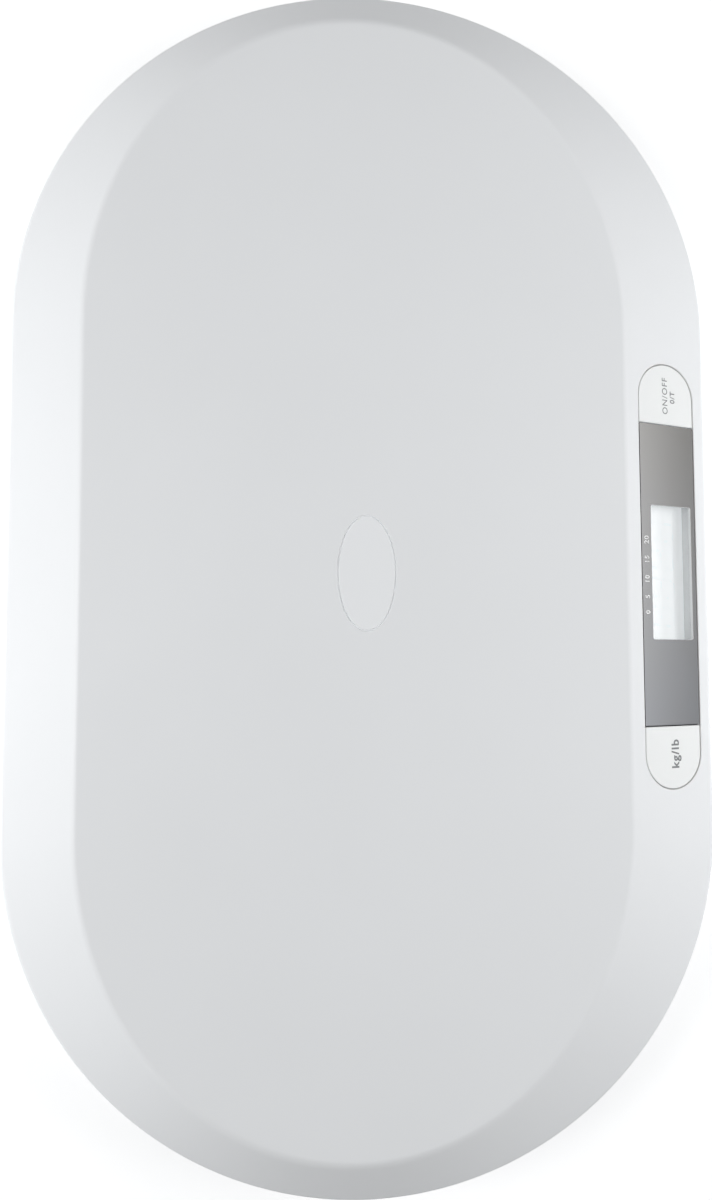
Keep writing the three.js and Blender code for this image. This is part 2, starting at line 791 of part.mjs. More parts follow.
function mainBoard() {
  const shape = roundedRectangle(board_screw_x + board_end_margin, board_half_width, board_end_margin / 2);
  for (const side of [1, -1]) {
    const hole = new THREE.Path();
    hole.absarc(side * board_screw_x, 0, board_screw_shank_radius + screw_hole_play, 0, 2 * half_turn);
    shape.holes.push(hole);
  }
  return raised(shape, -board_back, -board_front, hole_steps);
}

function buttonSolid() {
  const flange_front = cover_wall + seat_gap;
  const flange_back = flange_front + button_flange_thickness;
  const outside = raised(buttonShape(0, 0), -flange_back, -panel_step, strip_steps);
  const flange_shape = buttonShape(button_gap + button_flange_reach, 0);
  const flange = raised(flange_shape, -flange_back, -flange_front, strip_steps);
  const hollow_shape = buttonShape(-button_wall, -button_wall);
  const hollow = raised(hollow_shape, -flange_back - cut_overrun, -panel_step - button_cap, strip_steps);
  const stem = rod(button_stem_radius, seat_gap - plunger_top, -panel_step - button_cap / 2);
  const shell = without(joined([outside, flange].map(solidOf)), [solidOf(hollow)]);
  return shell.add(solidOf(stem.translate(button_stem_x, 0, 0)));
}

function switchBody() {
  const bottom = -board_front + seat_gap;
  const half = switch_half_side;
  const [near_x, far_x] = [button_stem_x - half, button_stem_x + half];
  const case_block = block([near_x, -half, bottom], [far_x, half, -switch_top]);
  const bore_end = -plunger_bottom - plunger_travel - seat_gap;
  const bore = rod(plunger_radius + seat_gap, bore_end, cut_overrun - switch_top);
  return solidOf(case_block).subtract(solidOf(bore.translate(button_stem_x, 0, 0)));
}

function switchPlunger() {
  return rod(plunger_radius, -plunger_bottom, -plunger_top).translate(button_stem_x, 0, 0);
}

// A pan head screw pointing up: the head's seat is at zero height
function screwSolid(head_radius, head_height, shank_radius, grip) {
  const crown = head_height / 2;
  return turned([
    [0, -head_height],
    [head_radius - crown, -head_height],
    [head_radius, -crown],
    [head_radius, 0],
    [shank_radius, 0],
    [shank_radius, grip - shank_radius],
    [0, grip],
  ], small_steps);
}

// One cell lying along X, its nub towards +X and its middle at zero
function cellSolid() {
  const back = -cell_length / 2;
  const front = cell_length / 2 - cell_nub_length;
  return turned([
    [0, back],
    [cell_radius - cell_edge, back],
    [cell_radius, back + cell_edge],
    [cell_radius, front - cell_edge],
    [cell_radius - cell_edge, front],
    [cell_nub_radius, front],
    [cell_nub_radius, front + cell_nub_length],
    [0, front + cell_nub_length],
  ], cell_steps).rotateY(quarter_turn);
}

// Flat contact plate across one or two cells, in the plane of the bay's +X end
function contactPlate(cells, with_tab) {
  const half_y = ((cells - 1) * cell_pitch) / 2 + contact_half_width;
  const plate = block([contact_face, -half_y, -contact_below_axis],
    [contact_face + contact_thickness, half_y, contact_above_axis]);
  if (!with_tab) return plate;
  const half = contact_thickness / 2;
  const tab = block([contact_face + half, -solder_tab_half_width, -half],
    [block_half_x + solder_tab_reach, solder_tab_half_width, half]);
  return solidOf(plate).add(solidOf(tab));
}

// Coil spring standing on a contact plate: a round wire wound on a cone, from base to tip along +X
function springPoint(share) {
  const angle = 2 * half_turn * spring_turns * share;
  const radius = spring_base_radius + (spring_tip_radius - spring_base_radius) * share;
  const rise = spring_wire_radius + (spring_length - 2 * spring_wire_radius) * share;
  return new THREE.Vector3(rise, radius * Math.cos(angle), radius * Math.sin(angle));
}

function springSolid() {
  const steps = spring_turns * spring_steps_per_turn;
  const rings = [];
  for (let step = 0; step <= steps; step += 1) {
    const middle = springPoint(step / steps);
    const outward = new THREE.Vector3(0, middle.y, middle.z).normalize();
    const ring = [];
    for (let side = 0; side < spring_sides; side += 1) {
      const angle = (2 * half_turn * side) / spring_sides;
      const point = middle.clone().addScaledVector(outward, spring_wire_radius * Math.cos(angle));
      point.x += spring_wire_radius * Math.sin(angle);
      ring.push(point.toArray());
    }
    rings.push(ring);
  }
  return lofted(rings, springPoint(0).toArray(), springPoint(1).toArray());
}

// Least clear distance between points of the wire that lie at least half a turn apart
function springLeastGap() {
  const steps = spring_turns * spring_steps_per_turn;
  let least = Infinity;
  for (let a = 0; a <= steps; a += 1) {
    for (let b = a + spring_steps_per_turn / 2; b <= steps; b += 1) {
      least = Math.min(least, springPoint(a / steps).distanceTo(springPoint(b / steps)));
    }
  }
  return least - 2 * spring_wire_radius;
}
console.log(`spring least gap ${springLeastGap().toFixed(2)} mm`);

// Foot: pad recess, flared rim, web, hub under the sensor and a snap head above it
function footSolid() {
  const recess_top = pad_thickness + seat_gap;
  const hub_top = sensor_underside - seat_gap;
  const snap_low = sensor_top + foot_travel + seat_gap;
  return turned([
    [0, recess_top],
    [pad_radius + seat_gap, recess_top],
    [pad_radius + seat_gap, foot_lift],
    [foot_radius - foot_flare, foot_lift],
    [foot_radius, foot_lift + foot_flare],
    [foot_radius, foot_wall_top],
    [foot_radius - foot_wall, foot_wall_top],
    [foot_radius - foot_wall, foot_web_top],
    [foot_hub_radius, foot_web_top],
    [foot_hub_radius, hub_top],
    [foot_neck_radius, hub_top],
    [foot_neck_radius, snap_low],
    [foot_snap_radius, snap_low],
    [foot_neck_radius, snap_low + foot_snap_height],
    [0, snap_low + foot_snap_height],
  ], foot_steps);
}

function padSolid() {
  return turned([
    [0, 0],
    [pad_radius - pad_edge, 0],
    [pad_radius, pad_edge],
    [pad_radius, pad_thickness],
    [0, pad_thickness],
  ], foot_steps);
}

// Steel load sensor: a square frame and the tongue that a U slot leaves inside it
function sensorSolid() {
  const shape = roundedRectangle(sensor_half_side, sensor_half_side, sensor_corner);
  const inner = sensor_slot_half_length - sensor_slot_width;
  const slot = new THREE.Path();
  slot.moveTo(-sensor_slot_half_length, -sensor_slot_front);
  slot.lineTo(sensor_slot_half_length, -sensor_slot_front);
  slot.lineTo(sensor_slot_half_length, sensor_slot_end);
  slot.lineTo(inner, sensor_slot_end);
  slot.lineTo(inner, sensor_slot_width - sensor_slot_front);
  slot.lineTo(-inner, sensor_slot_width - sensor_slot_front);
  slot.lineTo(-inner, sensor_slot_end);
  slot.lineTo(-sensor_slot_half_length, sensor_slot_end);
  slot.closePath();
  shape.holes.push(slot);
  const plate = raised(shape, sensor_underside, sensor_top, corner_steps);
  const gauge = block([-gauge_half_length, gauge_y - gauge_half_width, sensor_top - gauge_height],
    [gauge_half_length, gauge_y + gauge_half_width, sensor_top + gauge_height]);
  const hole = rod(sensor_hole_radius, sensor_underside - cut_overrun, sensor_top + cut_overrun);
  return without(solidOf(plate).add(solidOf(gauge)), [solidOf(hole)]);
}

// Bracket: a square cap over the sensor with a round window, two clips under it and a lead notch
function bracketSolid() {
  const half = bracket_half_side;
  const inside = sensor_half_side + seat_gap;
  const top = well_top - seat_gap;
  const outline = roundedRectangle(half, half, bracket_corner);
  const cap = raised(outline, bracket_bottom, top, corner_steps);
  const hollow = raised(
    roundedRectangle(inside, inside, sensor_corner), bracket_bottom - cut_overrun, sensor_top + seat_gap,
    corner_steps,
  );
  const opening = rod(bracket_window_radius, bracket_bottom, top + cut_overrun, window_steps);
  const middle = sensor_underside + sensor_thickness / 2;
  const notch = block(
    [inside - cut_overrun, -lead_port_half_side, bracket_bottom - cut_overrun],
    [half + cut_overrun, lead_port_half_side, middle + lead_port_half_side],
  );
  const clips = [1, -1].map((side) => {
    const [root, tip] = [side * (inside + seat_gap), side * (inside - bracket_clip_reach)];
    return block(
      [-bracket_clip_half_length, Math.min(root, tip), bracket_bottom],
      [bracket_clip_half_length, Math.max(root, tip), bracket_bottom + bracket_clip_thickness],
    );
  });
  const shell = without(solidOf(cap), [hollow, opening, notch].map(solidOf));
  return joined([shell, ...clips.map(solidOf)]);
}

// A lead is a round sleeve along a smooth route whose points are chosen by hand
function leadSolid(points) {
  const route = new THREE.CatmullRomCurve3(points.map(([x, y, z]) => new THREE.Vector3(x, y, z)));
  const section = new THREE.Shape();
  section.absarc(0, 0, lead_radius, 0, 2 * half_turn);
  const curveSegments = lead_sides / 2;
  const options = { steps: lead_steps, extrudePath: route, curveSegments, bevelEnabled: false };
  return new THREE.ExtrudeGeometry(section, options);
}

// Where a lead meets the underside of the board: its last stretch runs square to it
function boardEnd(x) {
  const lead_up_slope = strip_up_slope + board_half_width - lead_edge_inset;
  return [lead_rise, 0].map((back) => {
    const depth = board_back + seat_gap + back;
    return new THREE.Vector3(x, lead_up_slope, -depth).applyMatrix4(display.matrix).toArray();
  });
}

// A route keeps its shape between its two ends. Each row of shares is a place on it: how far along the
// straight way to the board, how far to the left of that way, and how high between resting on the floor
// and the board.
function leadRoute(start, run_out, board_x, way_shares) {
  const board_end = boardEnd(board_x);
  const [from_x, from_y, from_z] = [start[0] + run_out, start[1], start[2]];
  const [way_x, way_y] = [board_end[0][0] - from_x, board_end[0][1] - from_y];
  const resting_level = floor_level + lead_radius + seat_gap;
  const climb = board_end[0][2] - resting_level;
  const way = way_shares.map(([along, left, up]) => [
    from_x + way_x * along - way_y * left,
    from_y + way_y * along + way_x * left,
    resting_level + climb * up,
  ]);
  return [start, [from_x, from_y, from_z], ...way, ...board_end];
}

const sensor_lead_level = sensor_underside + sensor_thickness / 2;
const sensor_lead_start = foot_x - sensor_half_side - seat_gap;
const well_run_out = foot_x - well_radius - well_wall - lead_run_out - sensor_lead_start;
const front_way_shares = [
  [0.13, -0.05, 0.17],
  [0.26, -0.08, 0.04],
  [0.51, -0.11, 0.03],
  [0.79, -0.08, 0.12],
  [0.95, -0.04, 0.46],
];
const back_way_shares = [
  [0.04, -0.03, 0.17],
  [0.1, -0.04, 0.04],
  [0.32, -0.04, 0.02],
  [0.61, -0.02, 0.02],
  [0.84, -0.01, 0.04],
  [0.96, 0, 0.27],
];
const plus_way_shares = [
  [0.04, 0.04, 0.18],
  [0.13, 0.06, 0.07],
  [0.5, 0.01, 0.03],
  [0.82, 0, 0.13],
  [0.95, -0.01, 0.59],
];
const minus_way_shares = [
  [0.03, 0.04, 0.18],
  [0.11, 0.08, 0.07],
  [0.33, 0.1, 0.03],
  [0.68, 0.05, 0.04],
  [0.88, 0.01, 0.15],
  [0.96, 0, 0.59],
];
const front_sensor_end = [sensor_lead_start, -foot_y, sensor_lead_level];
const back_sensor_end = [sensor_lead_start, foot_y, sensor_lead_level];
const front_lead_route = leadRoute(front_sensor_end, well_run_out, front_lead_x, front_way_shares);
const back_lead_route = leadRoute(back_sensor_end, well_run_out, back_lead_x, back_way_shares);
const tab_end = block_half_x + solder_tab_reach + seat_gap;
const plus_tab_end = [tab_end, -outer_cell_y, cell_axis];
const minus_tab_end = [tab_end, outer_cell_y, cell_axis];
const plus_lead_route = leadRoute(plus_tab_end, lead_run_out, plus_lead_x, plus_way_shares);
const minus_lead_route = leadRoute(minus_tab_end, lead_run_out, minus_lead_x, minus_way_shares);
const mirrored = (route) => route.map(([x, y, z]) => [-x, y, z]);

// Housing
addPart(scale, 'top_cover', platformCover(), platform_plastic());
addPart(scale, 'bottom_cover', baseCover(), white_plastic());
addPart(scale, 'battery_door', batteryDoor(), white_plastic());
const housing_screw = screwSolid(screw_head_radius, screw_head_height, screw_shank_radius,
  screw_grip + tower_floor);
screw_places.forEach(([x, y], at) => {
  const screw = addPart(scale, `housing_screw_${at + 1}`, housing_screw, plated_steel());
  screw.position.set(x, y, tower_seat - seat_gap);
});

// Display strip
addPart(strip, 'display_panel', displayPanel(), silver_film());
addPart(strip, 'display_window', displayWindow(), clear_plastic());
addPart(strip, 'lcd_holder', displayHolder(), white_plastic());
addPart(strip, 'lcd_glass', displayGlass(), finish(0xdfe5e3, 0.2));
addPart(strip, 'lcd_contact_strip', contactStrip(), finish(0x6c7280, 0.8));
addPart(strip, 'main_board', mainBoard(), board_green());
const chip = block(
  [chip_x - chip_half_side, -chip_half_side, -board_back - seat_gap - chip_height],
  [chip_x + chip_half_side, chip_half_side, -board_back - seat_gap],
);
addPart(strip, 'controller_chip', chip, dark_plastic());
const board_screw = screwSolid(board_screw_head_radius, board_screw_head_height,
  board_screw_shank_radius, board_screw_grip + board_thickness);
[1, -1].forEach((side, at) => {
  const screw = addPart(strip, `board_screw_${at + 1}`, board_screw, plated_steel());
  screw.position.set(side * board_screw_x, 0, -board_back - seat_gap);
});
for (const [group, name] of [[power_end, 'power'], [unit_end, 'unit']]) {
  addPart(group, `${name}_button`, buttonSolid(), white_plastic());
  addPart(group, `${name}_switch`, switchBody(), dark_plastic());
  addPart(group, `${name}_switch_plunger`, switchPlunger(), dark_plastic());
}

// Battery bay: the cells lie head to tail, so the springs alternate between the two ends
const bay = new THREE.Group();
bay.position.set(0, bay_y, cell_axis);
scale.add(bay);
for (let at = 0; at < cell_count; at += 1) {
  const facing = at % 2 === 0 ? 1 : -1;
  const y = at * cell_pitch - outer_cell_y;
  const cell = addPart(bay, `battery_${at + 1}`, cellSolid(), finish(0x3f4a52, 0.35, 0.3));
  cell.rotation.z = facing > 0 ? 0 : half_turn;
  cell.position.set(facing * (contact_face - seat_gap - cell_length / 2), y, 0);
  const spring = addPart(bay, `contact_spring_${at + 1}`, springSolid(), plated_steel());
  spring.rotation.z = facing > 0 ? 0 : half_turn;
  spring.position.set(-facing * (contact_face - seat_gap), y, 0);
}
const contact_table = [
  ['plus_contact', 1, -outer_cell_y, 1, true],
  ['minus_contact', 1, outer_cell_y, 1, true],
  ['bridge_contact_1', 1, 0, 2, false],
  ['bridge_contact_2', -1, -cell_pitch, 2, false],
  ['bridge_contact_3', -1, cell_pitch, 2, false],
];
for (const [name, side, y, cells, with_tab] of contact_table) {
  const contact = addPart(bay, name, contactPlate(cells, with_tab), plated_steel());
  contact.rotation.z = side > 0 ? 0 : half_turn;
  contact.position.set(0, y, 0);
}

// Foot assemblies, each with its lead side towards the middle of the scale
foot_places.forEach(([x, y], at) => {
  const corner = new THREE.Group();
  corner.position.set(x, y, 0);
  corner.rotation.z = x > 0 ? half_turn : 0;
  scale.add(corner);
  addPart(corner, `foot_${at + 1}`, footSolid(), white_plastic());
  addPart(corner, `foot_pad_${at + 1}`, padSolid(), dark_rubber());
  addPart(corner, `load_sensor_${at + 1}`, sensorSolid(), steel());
  addPart(corner, `sensor_bracket_${at + 1}`, bracketSolid(), white_plastic());
});

// Leads
[front_lead_route, back_lead_route, mirrored(back_lead_route), mirrored(front_lead_route)]
  .forEach((route, at) => addPart(scale, `sensor_lead_${at + 1}`, leadSolid(route), finish(0xd9dbdc, 0.6)));
addPart(scale, 'plus_lead', leadSolid(plus_lead_route), finish(0xb3322c, 0.6));
addPart(scale, 'minus_lead', leadSolid(minus_lead_route), finish(0x26282a, 0.6));

export default scale;
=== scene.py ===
# Digital baby weighing scale, put together piece by piece and dressed for a studio picture.
# Metres. X runs along the length, the display slopes down towards -Y and Z is up from the table.
import math

import bmesh
import bpy
from mathutils import Matrix, Vector


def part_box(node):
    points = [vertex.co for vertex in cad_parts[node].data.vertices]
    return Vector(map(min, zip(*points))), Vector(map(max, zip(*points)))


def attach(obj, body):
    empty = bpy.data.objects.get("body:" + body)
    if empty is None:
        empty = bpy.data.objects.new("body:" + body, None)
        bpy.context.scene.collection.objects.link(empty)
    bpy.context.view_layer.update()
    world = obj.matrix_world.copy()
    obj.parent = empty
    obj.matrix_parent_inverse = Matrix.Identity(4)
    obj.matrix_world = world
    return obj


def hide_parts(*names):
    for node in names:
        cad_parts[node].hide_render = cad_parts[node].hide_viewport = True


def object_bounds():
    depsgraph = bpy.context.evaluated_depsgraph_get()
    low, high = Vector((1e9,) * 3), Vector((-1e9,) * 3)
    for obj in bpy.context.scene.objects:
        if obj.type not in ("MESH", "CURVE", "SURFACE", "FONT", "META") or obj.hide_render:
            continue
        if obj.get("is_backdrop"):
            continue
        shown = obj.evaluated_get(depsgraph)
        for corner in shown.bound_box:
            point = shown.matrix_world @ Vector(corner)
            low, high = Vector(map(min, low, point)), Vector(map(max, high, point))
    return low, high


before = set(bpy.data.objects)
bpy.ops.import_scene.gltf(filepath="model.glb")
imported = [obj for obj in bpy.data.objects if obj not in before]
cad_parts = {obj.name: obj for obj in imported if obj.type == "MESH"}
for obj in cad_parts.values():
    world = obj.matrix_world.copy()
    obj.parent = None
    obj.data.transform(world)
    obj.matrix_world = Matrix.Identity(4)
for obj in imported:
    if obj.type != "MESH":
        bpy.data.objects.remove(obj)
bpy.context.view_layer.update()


# Feet and rubber pads
# Four round feet of white moulded plastic carry the scale, one under each load sensor. Each has a flared
# rim, a web, a hub and a snap head that floats in the sensor, and a grey rubber pad glued in its underside.
mm = 0.001
foot_radius = 22.5 * mm
foot_lift = 1.6 * mm
foot_flare = 2.6 * mm
foot_wall = 1.8 * mm
foot_wall_top = 11 * mm
foot_web_top = 5.2 * mm
foot_hub_radius = 4 * mm
foot_hub_top = 16.9 * mm
foot_neck_radius = 1.6 * mm
foot_snap_radius = 2.5 * mm
foot_snap_low = 20.5 * mm
foot_snap_top = 21.3 * mm
foot_soft_edge = 0.5 * mm
pad_radius = 15 * mm
pad_thickness = 2.5 * mm
pad_edge = 0.6 * mm
pad_gap = 0.3 * mm
pad_groove_pitch = 1.6 * mm
pad_groove_width = 0.7 * mm
pad_groove_depth = 0.3 * mm
pad_groove_round = 0.14 * mm
pad_first_groove = 4 * mm
pad_grooves = 6
round_steps = 96
corner_steps = 5
sharp_angle = math.radians(35)
weld_distance = 0.001 * mm
fine_weld_distance = 0.0001 * mm


class Measure:
    """A number on its way through a node tree. Arithmetic on it adds the Math nodes that do the sum."""

    def __init__(self, sheet, socket):
        self.sheet = sheet
        self.socket = socket

    def math(self, operation, *others):
        return Measure(self.sheet, self.sheet.result("ShaderNodeMath", self, *others, operation=operation))

    def clamped(self):
        """The same number, which its node now holds between 0 and 1."""
        self.socket.node.use_clamp = True
        return self

    def __add__(self, other):
        return self.math("ADD", other)

    def __sub__(self, other):
        return self.math("SUBTRACT", other)

    def __mul__(self, other):
        return self.math("MULTIPLY", other)

    def __truediv__(self, other):
        return self.math("DIVIDE", other)

    def __rsub__(self, other):
        return self * -1 + other


class Sheet:
    """A node tree being drawn up, for a shape or for a finish."""

    def __init__(self, tree):
        self.tree = tree

    def link(self, value, entry):
        if isinstance(value, Measure):
            value = value.socket
        if isinstance(value, bpy.types.NodeSocket):
            self.tree.links.new(value, entry)
        else:
            entry.default_value = value

    def node(self, kind, *values, **named):
        """A new node. Values fill its inputs in order, capitalised names are inputs, others are settings."""
        node = self.tree.nodes.new(kind)
        entries = dict(enumerate(values))
        for name, value in named.items():
            if name[0].isupper():
                entries[name.replace("_", " ")] = value
            else:
                setattr(node, name, value)
        for name, value in entries.items():
            self.link(value, node.inputs[name])
        return node

    def result(self, kind, *values, **named):
        return self.node(kind, *values, **named).outputs[0]

    def measured(self, kind, output):
        """The named output of a new node, as a number."""
        return Measure(self, self.node(kind).outputs[output])

    def vector(self, x, y, z):
        return self.result("ShaderNodeCombineXYZ", x, y, z)

    def parts_of(self, vector):
        outputs = self.node("ShaderNodeSeparateXYZ", vector).outputs
        return [Measure(self, socket) for socket in outputs]


class Recipe(Sheet):
    """How a shape is made: a Geometry Nodes tree that turns a drawing into a mesh, with named sizes."""

    def __init__(self, name, *sizes):
        super().__init__(bpy.data.node_groups.new(name, "GeometryNodeTree"))
        new_entry = self.tree.interface.new_socket
        new_entry("Drawing", in_out="INPUT", socket_type="NodeSocketGeometry")
        for size in sizes:
            new_entry(size, in_out="INPUT", socket_type="NodeSocketFloat")
        new_entry("Finish", in_out="INPUT", socket_type="NodeSocketMaterial")
        new_entry("Mesh", in_out="OUTPUT", socket_type="NodeSocketGeometry")
        self.given = self.tree.nodes.new("NodeGroupInput").outputs
        self.drawing = self.given["Drawing"]
        self.sizes = [Measure(self, self.given[size]) for size in sizes]

    def attribute(self, name, data_type="FLOAT"):
        node = self.node("GeometryNodeInputNamedAttribute", Name=name, data_type=data_type)
        return node.outputs["Attribute"]

    def sampled(self, geometry, value, index, data_type):
        return self.result("GeometryNodeSampleIndex", Geometry=geometry, Value=value, Index=index,
                           data_type=data_type)

    def moved(self, mesh, x, y, z):
        """The mesh with its points at new places."""
        return self.result("GeometryNodeSetPosition", Geometry=mesh, Position=self.vector(x, y, z))

    def rings(self, line):
        """A grid with a ring for each point of a line, then the ring's number, its point and the angle."""
        counts = self.node("GeometryNodeAttributeDomainSize", line, component="MESH")
        rows = Measure(self, counts.outputs["Point Count"])
        columns = self.sizes[0]
        grid = self.result("GeometryNodeMeshGrid", 1, 1, Vertices_X=columns + 1, Vertices_Y=rows)
        position = self.result("GeometryNodeInputPosition")
        across, along, _ = self.parts_of(position)
        row = ((along + 0.5) * (rows - 1)).math("ROUND")
        point = self.parts_of(self.sampled(line, position, row, "FLOAT_VECTOR"))
        angle = ((across + 0.5) * columns + 0.5) / columns * math.tau
        return grid, row, point, angle.math("COSINE"), angle.math("SINE")

    def finish(self, mesh):
        """Ends the recipe with one real, welded, smooth and painted mesh."""
        real = self.result("GeometryNodeRealizeInstances", mesh)
        welded = self.result("GeometryNodeMergeByDistance", Geometry=real, Distance=weld_distance)
        smooth = self.result("GeometryNodeSetShadeSmooth", welded)
        painted = self.result("GeometryNodeSetMaterial", Geometry=smooth, Material=self.given["Finish"])
        self.node("NodeGroupOutput", Mesh=painted)
        return self

    def finish_at(self, places, shape, scale=(1, 1, 1), lie=0.0):
        """Ends the recipe with the shape at each place, laid over and then turned as the place says."""
        rotation = self.vector(0, lie, self.attribute("turn"))
        return self.finish(self.result("GeometryNodeInstanceOnPoints", Points=places, Instance=shape,
                                       Rotation=rotation, Scale=scale))


def turning_recipe():
    """Turns a section round Z, or round a straight stretch between two axes, and sets it at its places."""
    recipe = Recipe("Turned piece", "Steps", "Half Straight", "Lie")
    _, half_straight, lie = recipe.sizes
    is_place = recipe.attribute("place", "BOOLEAN")
    places, section = recipe.node("GeometryNodeSeparateGeometry", recipe.drawing, is_place).outputs
    curve = recipe.result("GeometryNodeMeshToCurve", Mesh=section)
    softened = recipe.result("GeometryNodeFilletCurve", Curve=curve, Radius=recipe.attribute("round"),
                             Count=corner_steps, Limit_Radius=True, mode="POLY")
    line = recipe.result("GeometryNodeCurveToMesh", Curve=softened)
    grid, _, (radius, _, height), cosine, sine = recipe.rings(line)
    x = cosine.math("SIGN") * half_straight + radius * cosine
    return recipe.finish_at(places, recipe.moved(grid, x, radius * sine, height), lie=lie)


def marked_points(places, edges=(), **marks):
    """A mesh of points, with a number for every point under each name."""
    mesh = bpy.data.meshes.new("drawing")
    mesh.from_pydata(places, edges, [])
    for name, values in marks.items():
        kind = "BOOLEAN" if isinstance(values[0], bool) else "FLOAT"
        mesh.attributes.new(name, kind, "POINT").data.foreach_set("value", values)
    return mesh


def drawing(section, places, turns=None):
    """A section line in X and Z with some corners rounded, and the places as loose points."""
    line = [(point[0], 0, point[1]) for point in section]
    rounds = [point[2] if len(point) > 2 else 0.0 for point in section]
    no_line, no_place = [0.0] * len(line), [0.0] * len(places)
    return marked_points(
        [*line, *places], [(at, at + 1) for at in range(len(line) - 1)],
        round=rounds + no_place, turn=no_line + list(turns or no_place),
        place=[False] * len(line) + [True] * len(places),
    )


def link_object(name, mesh):
    piece = bpy.data.objects.new(name, mesh)
    bpy.context.scene.collection.objects.link(piece)
    return piece


def evaluated_mesh(piece):
    """The piece's mesh with its modifiers in it, and the modifiers gone."""
    shaped = piece.evaluated_get(bpy.context.evaluated_depsgraph_get())
    mesh = bpy.data.meshes.new_from_object(shaped)
    piece.modifiers.clear()
    piece.data = mesh
    return mesh


def face_outwards(mesh):
    body = bmesh.new()
    body.from_mesh(mesh)
    if body.calc_volume(signed=True) < 0:
        bmesh.ops.reverse_faces(body, faces=body.faces)
    body.to_mesh(mesh)
    body.free()


def follow(piece, recipe, finish, **sizes):
    """Gives a piece a recipe, with the sizes and the finish that the recipe asks for."""
    modifier = piece.modifiers.new("Recipe", "NODES")
    modifier.node_group = recipe.tree
    values = {key.replace("_", " ").title(): value for key, value in sizes.items()}
    values["Finish"] = finish
    for entry in recipe.tree.interface.items_tree:
        if entry.in_out == "INPUT" and entry.name in values:
            modifier[entry.identifier] = values[entry.name]


def made(name, recipe, drawn, finish=None, **sizes):
    """A piece made by a recipe from a drawing, as a plain mesh whose faces point outwards."""
    piece = link_object(name, drawn)
    follow(piece, recipe, finish, **sizes)
    face_outwards(evaluated_mesh(piece))
    return piece


def turned(name, section, places, steps, finish=None, turns=None, **sizes):
    return made(name, turning, drawing(section, places, turns), finish, steps=steps, **sizes)


def fitted(piece, node, body="housing"):
    """Fixes a finished piece to its body, in the place of a CAD node."""
    piece.data.set_sharp_from_angle(angle=sharp_angle)
    piece.modifiers.new("Even shading", "WEIGHTED_NORMAL").keep_sharp = True
    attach(piece, body)
    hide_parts(node)


def tone(red, green, blue):
    """A colour as it shows on a screen, from 0 to 255, as the light that it stands for."""
    shares = [value / 255 for value in (red, green, blue)]
    light = [v / 12.92 if v <= 0.04045 else ((v + 0.055) / 1.055) ** 2.4 for v in shares]
    return (*light, 1.0)


class Finish(Sheet):
    """A material being mixed, with its Principled shader and the piece's own coordinates."""

    def __init__(self, name, **sockets):
        self.material = bpy.data.materials.new(name)
        self.material.use_nodes = True
        super().__init__(self.material.node_tree)
        self.shader = self.tree.nodes["Principled BSDF"]
        self.place = self.node("ShaderNodeTexCoord").outputs["Object"]
        self.give(**sockets)

    def give(self, **sockets):
        """Sets or links inputs of the shader, named with _ for each space."""
        for socket, value in sockets.items():
            self.link(value, self.shader.inputs[socket.replace("_", " ")])

    def noise(self, size, detail=2.0):
        """Seamless clouds of about that size, from 0 to 1."""
        return Measure(self, self.result("ShaderNodeTexNoise", self.place, Scale=1 / size, Detail=detail))

    def shaded(self, colour, factor):
        """The colour, lighter or darker from place to place."""
        return self.result("ShaderNodeVectorMath", colour[:3], Scale=factor, operation="SCALE")

    def mixed(self, factor, colour, other):
        """The one colour where the factor is 0 and the other where it is 1."""
        node = self.node("ShaderNodeMix", factor, data_type="RGBA")
        self.link(colour, node.inputs[6])
        self.link(other, node.inputs[7])
        return node.outputs[2]

    def mixed_surface(self, factor, shader, other):
        """Ends the material with the one shader where the factor is 0 and the other where it is 1."""
        mixed = self.result("ShaderNodeMixShader", factor, shader, other)
        self.link(mixed, self.tree.nodes["Material Output"].inputs["Surface"])

    def bump(self, height, distance):
        self.give(Normal=self.result("ShaderNodeBump", Height=height, Distance=distance))


def clouded(name, colour, clouds, tones, gloss, grain=None, depth=0.0, lighter=None, **sockets):
    """A material whose tone and roughness follow soft clouds, and a fine grain if it has one.

    Clouds and grain are a size and a detail. Tones and gloss are factors, and last the value to start from.
    """
    finish = Finish(name, **sockets)
    cloud = finish.noise(*clouds)
    factor = cloud * tones[0] + tones[1]
    roughness = cloud * gloss[0] + gloss[-1]
    if lighter:
        factor += lighter(finish)
    if grain:
        specks = finish.noise(*grain)
        roughness += specks * gloss[1]
        if depth:
            finish.bump(specks, depth)
    finish.give(Base_Color=finish.shaded(colour, factor), Roughness=roughness)
    return finish.material


def moulded_plastic(name, colour, roughness, lighter=None):
    """White moulded plastic with a fine grain from the tool and a faint unevenness of tone and gloss."""
    gloss = (0.06, 0.1, roughness - 0.08)
    return clouded(name, colour, clouds=(60 * mm, 3.0), tones=(0.03, 0.985), gloss=gloss,
                   grain=(0.35 * mm, 1.0), depth=0.006 * mm, lighter=lighter, IOR=1.5)


turning = turning_recipe()
foot_section = (
    (0, pad_thickness + pad_gap),
    (pad_radius + pad_gap, pad_thickness + pad_gap),
    (pad_radius + pad_gap, foot_lift, foot_soft_edge),
    (foot_radius - foot_flare, foot_lift, 2 * foot_soft_edge),
    (foot_radius, foot_lift + foot_flare, 2 * foot_soft_edge),
    (foot_radius, foot_wall_top, foot_soft_edge),
    (foot_radius - foot_wall, foot_wall_top, foot_soft_edge),
    (foot_radius - foot_wall, foot_web_top, 2 * foot_soft_edge),
    (foot_hub_radius, foot_web_top, 2 * foot_soft_edge),
    (foot_hub_radius, foot_hub_top, foot_soft_edge),
    (foot_neck_radius, foot_hub_top),
    (foot_neck_radius, foot_snap_low),
    (foot_snap_radius, foot_snap_low),
    (foot_neck_radius, foot_snap_top, foot_soft_edge),
    (0, foot_snap_top),
)
pad_section = [(0, 0)]
